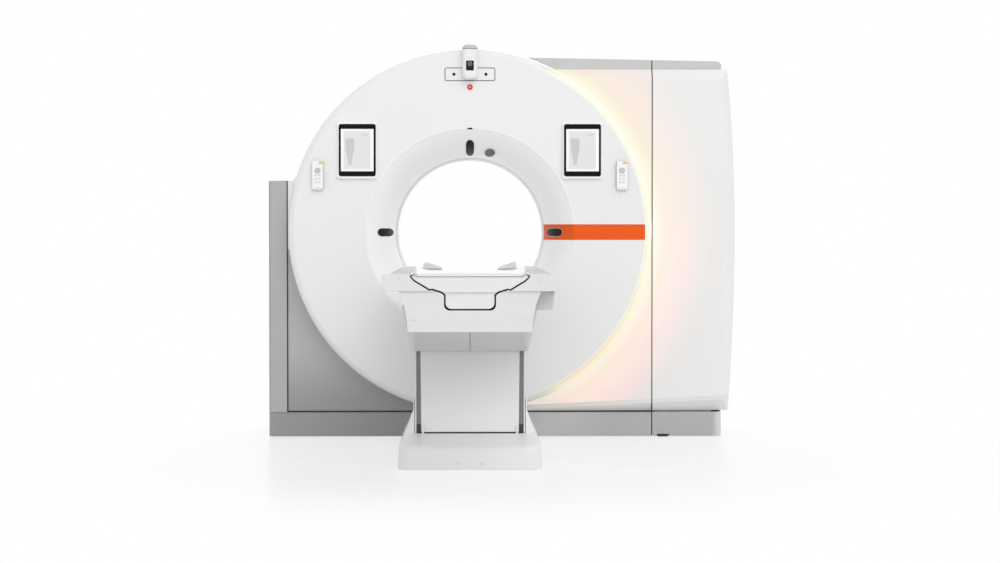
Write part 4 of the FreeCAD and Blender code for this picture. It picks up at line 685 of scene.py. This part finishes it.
def remotePaint(name):
    # white front in a grey body, with the raised keys a little darker
    f = Finish(name)
    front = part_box("remotes")[0].y
    keys = f.span(f.y, front, front + remote["front"], 1.0, 0.0)
    deep = f.span(f.y, *(front + depth for depth in remote["rim"]))
    tone = f.blend(deep, f.blend(keys, remote["case"], remote["key"]), remote["body"])
    cells = f.node("ShaderNodeTexVoronoi", {"feature": "SMOOTH_F1"}, {"Vector": f.place, "Scale": 900})
    return f.set(Base_Color=tone, Roughness=f.span(f.noise(40, 3), 0.3, 0.7, 0.38, 0.46),
                 Normal=f.bump(cells, 0.06, 0.0003, 0.0015))


def buildScreens():
    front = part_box("tablets")[0].y
    picture = screenPicture("tablet_screen")
    for label, side in (("left", -1), ("right", 1)):
        x = side * screen["x"]
        outline = roundCorners(x - screen["half"], x + screen["half"], screen["z"] - screen["tall"],
                               screen["z"] + screen["tall"], screen["corner"])
        plate = raisedPlate(f"tablet_screen_{label}", outline, front + screen["sunk"],
                            front - screen["proud"], screen["edge"])
        addPiece(f"tablet_screen_{label}", plate, picture, "gantry")


paint(mouldedPlastic("key_blue", (0.52, 0.56, 0.60), 0.4), "jog_button_left", "jog_button_right")
paint(mouldedPlastic("key_orange", (0.86, 0.56, 0.20), 0.4), "scan_key_left", "scan_key_right")
paint(remotePaint("remote_case"), "remotes")
paint(mouldedPlastic("grille_grey", (0.12, 0.12, 0.125), 0.5), "intercom_grille")
paint(darkGlass("tablet_black", (0.003, 0.003, 0.0035), 0.25, 0.08), "tablets")
buildScreens()
print("controls made")

pad = {"front": -2.8225, "back": -0.6615, "low": 0.8028, "edge": 0.2005, "lean": 0.0065, "seat": 0.8285,
       "rim": 0.8395, "rimStart": 0.150, "rimEnd": 0.184, "endDrop": 0.006, "endReach": 0.030,
       "endDraw": 0.004, "counts": (36, 120, 4), "pressure": 4.0, "most": 0.0035,
       "seatMost": 0.8322, "seatGive": 0.25, "seatClear": 0.004, "lowest": 0.8023, "beadZ": 0.8135,
       "beadRadius": 0.0011, "beadOut": 0.2022, "beadIn": 0.0006, "beadCorner": 0.010, "ticks": 20}
wedge = {"inner": 0.0980, "outer": 0.1662, "lean": 0.006, "front": -2.799, "back": -2.641, "seat": 0.8306,
         "thin": 0.0012, "rise": 0.0220, "crown": 0.0008, "sink": 0.0004, "counts": (8, 20, 4),
         "pressure": 2.0, "most": 0.0012}


def boxSkin(name, counts, place):
    # the skin of a box as an even net of quads, each point put where place says from its three shares
    across, along, up = counts
    net = bmesh.new()
    found = {}

    def spot(i, j, k):
        if (i, j, k) not in found:
            found[i, j, k] = net.verts.new(place(i / across, j / along, k / up))
        return found[i, j, k]

    for k in (0, up):
        for i in range(across):
            for j in range(along):
                net.faces.new((spot(i, j, k), spot(i + 1, j, k), spot(i + 1, j + 1, k), spot(i, j + 1, k)))
    for j in (0, along):
        for i in range(across):
            for k in range(up):
                net.faces.new((spot(i, j, k), spot(i + 1, j, k), spot(i + 1, j, k + 1), spot(i, j, k + 1)))
    for i in (0, across):
        for j in range(along):
            for k in range(up):
                net.faces.new((spot(i, j, k), spot(i, j + 1, k), spot(i, j + 1, k + 1), spot(i, j, k + 1)))
    return meshFrom(net, name)


def smooth(value):
    value = min(max(value, 0.0), 1.0)
    return value * value * (3 - 2 * value)


def padPoint(u, v, w):
    # the couch pad: raised rims, a shallow seat, leaning sides and drawn-in ends
    t = 2 * u - 1
    y = pad["front"] + (pad["back"] - pad["front"]) * v
    nearEnd = 1 - smooth(min(y - pad["front"], pad["back"] - y) / pad["endReach"])
    edge = pad["edge"] - pad["lean"] * (2 * w - 1) ** 2 - pad["endDraw"] * nearEnd
    x = t * edge
    rise = smooth((abs(x) - pad["rimStart"]) / (pad["rimEnd"] - pad["rimStart"]))
    top = pad["seat"] + (pad["rim"] - pad["seat"]) * rise - pad["endDrop"] * nearEnd
    return (x, y, pad["low"] + (top - pad["low"]) * w)


def settle(shown, pressure, most):
    # cloth blown up a little from inside, with no point moved further than most
    mesh = shown.data
    start = [vertex.co.copy() for vertex in mesh.vertices]
    cover = shown.modifiers.new("cover", "CLOTH")
    cover.settings.use_pressure = True
    cover.settings.uniform_pressure_force = pressure
    cover.settings.effector_weights.gravity = 0
    cover.point_cache.frame_end = pad["ticks"]
    for tick in range(pad["ticks"]):
        bpy.context.scene.frame_set(tick + 1)
    graph = bpy.context.evaluated_depsgraph_get()
    blown = bpy.data.meshes.new_from_object(shown.evaluated_get(graph))
    for vertex, place in zip(mesh.vertices, blown.vertices):
        vertex.co = place.co
    shown.modifiers.remove(cover)
    bpy.data.meshes.remove(blown)
    bpy.context.scene.frame_set(1)
    for vertex, place in zip(mesh.vertices, start):
        move = vertex.co - place
        if move.length > most:
            vertex.co = place + move.normalized() * most
    shown.modifiers.new("finer", "SUBSURF").levels = 1
    shown.modifiers["finer"].render_levels = 1


def padVinyl(name):
    # welded vinyl over foam: fine cross-grain, soft pulls and a satin skin
    f = Finish(name)
    pulls = f.noise(14, 3, stretch=(1, 0.35, 1))
    grain = f.node("ShaderNodeTexVoronoi", {"feature": "F1"}, {"Vector": f.place, "Scale": 700})
    tone = f.blend(f.noise(3, 3), (0.885, 0.888, 0.888), (0.91, 0.913, 0.913))
    return f.set(Base_Color=tone, Roughness=f.span(f.noise(20, 3), 0.3, 0.7, 0.44, 0.54),
                 Normal=f.bump(grain * 0.25 + pulls, 0.35, 0.0012))


def wedgeFoam(name):
    # grey coated foam with small closed cells
    f = Finish(name)
    cells = f.node("ShaderNodeTexVoronoi", {"feature": "SMOOTH_F1"}, {"Vector": f.place, "Scale": 420})
    tone = f.blend(f.noise(24, 3), (0.57, 0.572, 0.575), (0.64, 0.642, 0.645))
    return f.set(Base_Color=tone, Roughness=f.span(f.noise(30, 3), 0.3, 0.7, 0.6, 0.7),
                 Normal=f.bump(cells, 0.3, 0.0006))


def buildPad():
    vinyl = padVinyl("pad_vinyl")
    shown = addPiece("couch_pad", boxSkin("couch_pad", pad["counts"], padPoint), vinyl, "couch")
    settle(shown, pad["pressure"], pad["most"])
    for vertex in shown.data.vertices:
        vertex.co.z = max(vertex.co.z, pad["lowest"])
        if abs(vertex.co.x) < wedge["outer"] + pad["seatClear"]:
            over = max(vertex.co.z - pad["seatMost"], 0)
            vertex.co.z = min(vertex.co.z, pad["seatMost"] + pad["seatGive"] * over)
    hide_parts("mattress")
    out, corner = pad["beadOut"], pad["beadCorner"]
    outline = roundCorners(-out, out, pad["front"] + pad["beadIn"], pad["back"] - pad["beadIn"], corner)
    bead = tubeAlong("pad_seam", [(x, y, pad["beadZ"]) for x, y in outline], pad["beadRadius"])
    addPiece("pad_seam", bead, vinyl, "couch")


def buildWedges():
    foam = wedgeFoam("wedge_foam")
    for label, side in (("left", -1), ("right", 1)):
        def place(u, v, w):
            y = wedge["front"] + (wedge["back"] - wedge["front"]) * v
            crown = wedge["crown"] * math.sin(math.pi * v)
            x = wedge["inner"] + (wedge["outer"] - wedge["lean"] * w - wedge["inner"]) * u
            return (side * x, y, wedge["seat"] + w * (wedge["thin"] + wedge["rise"] * u + crown))
        shown = addPiece(f"wedge_{label}", boxSkin(f"wedge_{label}", wedge["counts"], place), foam, "couch")
        settle(shown, wedge["pressure"], wedge["most"])
        for vertex in shown.data.vertices:
            vertex.co.z = max(vertex.co.z, wedge["seat"] - wedge["sink"])
        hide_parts("support_wedges")


trough = {"keel": 0.0935, "keelLow": 0.6835, "keelFront": -2.8205, "wing": 0.2135, "wingLow": 0.7535,
          "wingFront": -2.8285, "beamLow": 0.6755, "beamBack": -2.62, "slot_shade": (0.012, 0.012, 0.013)}
cornerShadeBar = {"inner": 0.192, "outer": 0.222, "low": 0.4745, "high": 0.4785, "front": -1.6008, "back": -1.5935,
         "corner": 0.0015, "edge": 0.0008}
plugs = {"spots": (("bar_plug_0", "carrier_cover", "carrier", -0.250, 0.796),
                   ("bar_plug_1", "carrier_cover", "carrier", 0.245, 0.791),
                   ("base_plug_0", "table_base_cover", "gantry", -0.047, 0.025),
                   ("base_plug_1", "table_base_cover", "gantry", 0.047, 0.025)),
         "radius": 0.004, "proud": 0.0007, "sunk": 0.002, "edge": 0.0004}


def carrierPaint(name):
    # white end cover; the slot that the couch runs in is painted black, a dark lining standing in for the
    # shade deep inside it
    f = Finish(name)
    keel = (f.z > trough["keelLow"]) * (abs(f.x) < trough["keel"]) * (f.y > trough["keelFront"])
    wings = (f.z > trough["wingLow"]) * (abs(f.x) < trough["wing"]) * (f.y > trough["wingFront"])
    colour = tones["carrier"]
    drift = f.span(f.noise(lacquer["toneScale"], 2), *lacquer["toneSpan"])
    white = f.blend(drift, tinted(colour, 0.988), tinted(colour, 1.012))
    tone = f.blend(keel.maths("MAXIMUM", keel, wings), white, trough["slot_shade"])
    return lacquered(f, tone, 0.30, 0.42, 0.25, streak=lacquer["wiped"])


def beamMetal(name):
    # extruded alloy, with the same painted black shade where the slot's mouth shows it
    f = Finish(name)
    lines = f.noise(30, 4, stretch=(1, 1, 60))
    slotShaded = (f.z > trough["beamLow"]) * (abs(f.x) < trough["wing"]) * (f.y < trough["beamBack"])
    metal = f.blend(lines, (0.57, 0.576, 0.585), (0.72, 0.735, 0.745))
    return f.set(Base_Color=f.blend(slotShaded, metal, trough["slot_shade"]), Metallic=1.0 - slotShaded,
                 Roughness=f.span(lines, 0.3, 0.7, 0.27, 0.45), Normal=f.bump(lines, 0.1, 0.0005))


def buildTableTrim():
    # black bars at the column's top corners, standing in for the shadow gap under the housing's rounded
    # corners (painted shade)
    for label, side in (("left", -1), ("right", 1)):
        x0, x1 = sorted((side * cornerShadeBar["inner"], side * cornerShadeBar["outer"]))
        outline = roundCorners(x0, x1, cornerShadeBar["low"], cornerShadeBar["high"], cornerShadeBar["corner"], 3)
        bar = raisedPlate(f"corner_shade_{label}", outline, cornerShadeBar["back"], cornerShadeBar["front"], cornerShadeBar["edge"])
        addPiece(f"corner_shade_{label}", bar, blackRubber, "carrier")
    grey = mouldedPlastic("plug_grey", (0.62, 0.622, 0.625), 0.5)
    for name, cover, body, x, z in plugs["spots"]:
        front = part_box(cover)[0].y
        r = plugs["radius"]
        outline = roundCorners(x - r, x + r, z - r, z + r, r * 0.999, 8)
        disc = raisedPlate(name, outline, front + plugs["sunk"], front - plugs["proud"], plugs["edge"])
        addPiece(name, disc, grey, body)


paint(coverPaint("base_white", tones["table"]), "table_base_cover")
paint(carrierPaint("carrier_white"), "carrier_cover")
paint(beamMetal("beam_alloy"), "carrier_beam")
paint(coverPaint("couch_shell", tones["couch"], rough=0.42), "couch_cradle", "couch_end_cap")
paint(coverPaint("ledge_grey", tones["ledge"], rough=0.5, coat=0.05), "ledge_rails")
# painted shade: the column's white darkens towards the top, under the housing
paint(heightShadedCover("column_white", tones["columnLow"], tones["column"], (0.13, 0.47), rough=0.42),
      "column_sleeve")
paint(heightShadedCover("seal_rubber", tones["sealEnd"], tones["seal"], (0.172, 0.176), rough=0.6), "column_seals")
# painted shade: the housing under the table top gets a darker tone than the white covers
paint(coverPaint("housing_shaded_grey", tones["housing"], rough=0.42), "housing_left", "housing_right")
paint(coverPaint("bracket_grey", tones["bracket"], rough=0.42), "side_bracket")
buildPad()
buildWedges()
buildTableTrim()
print("table finished")
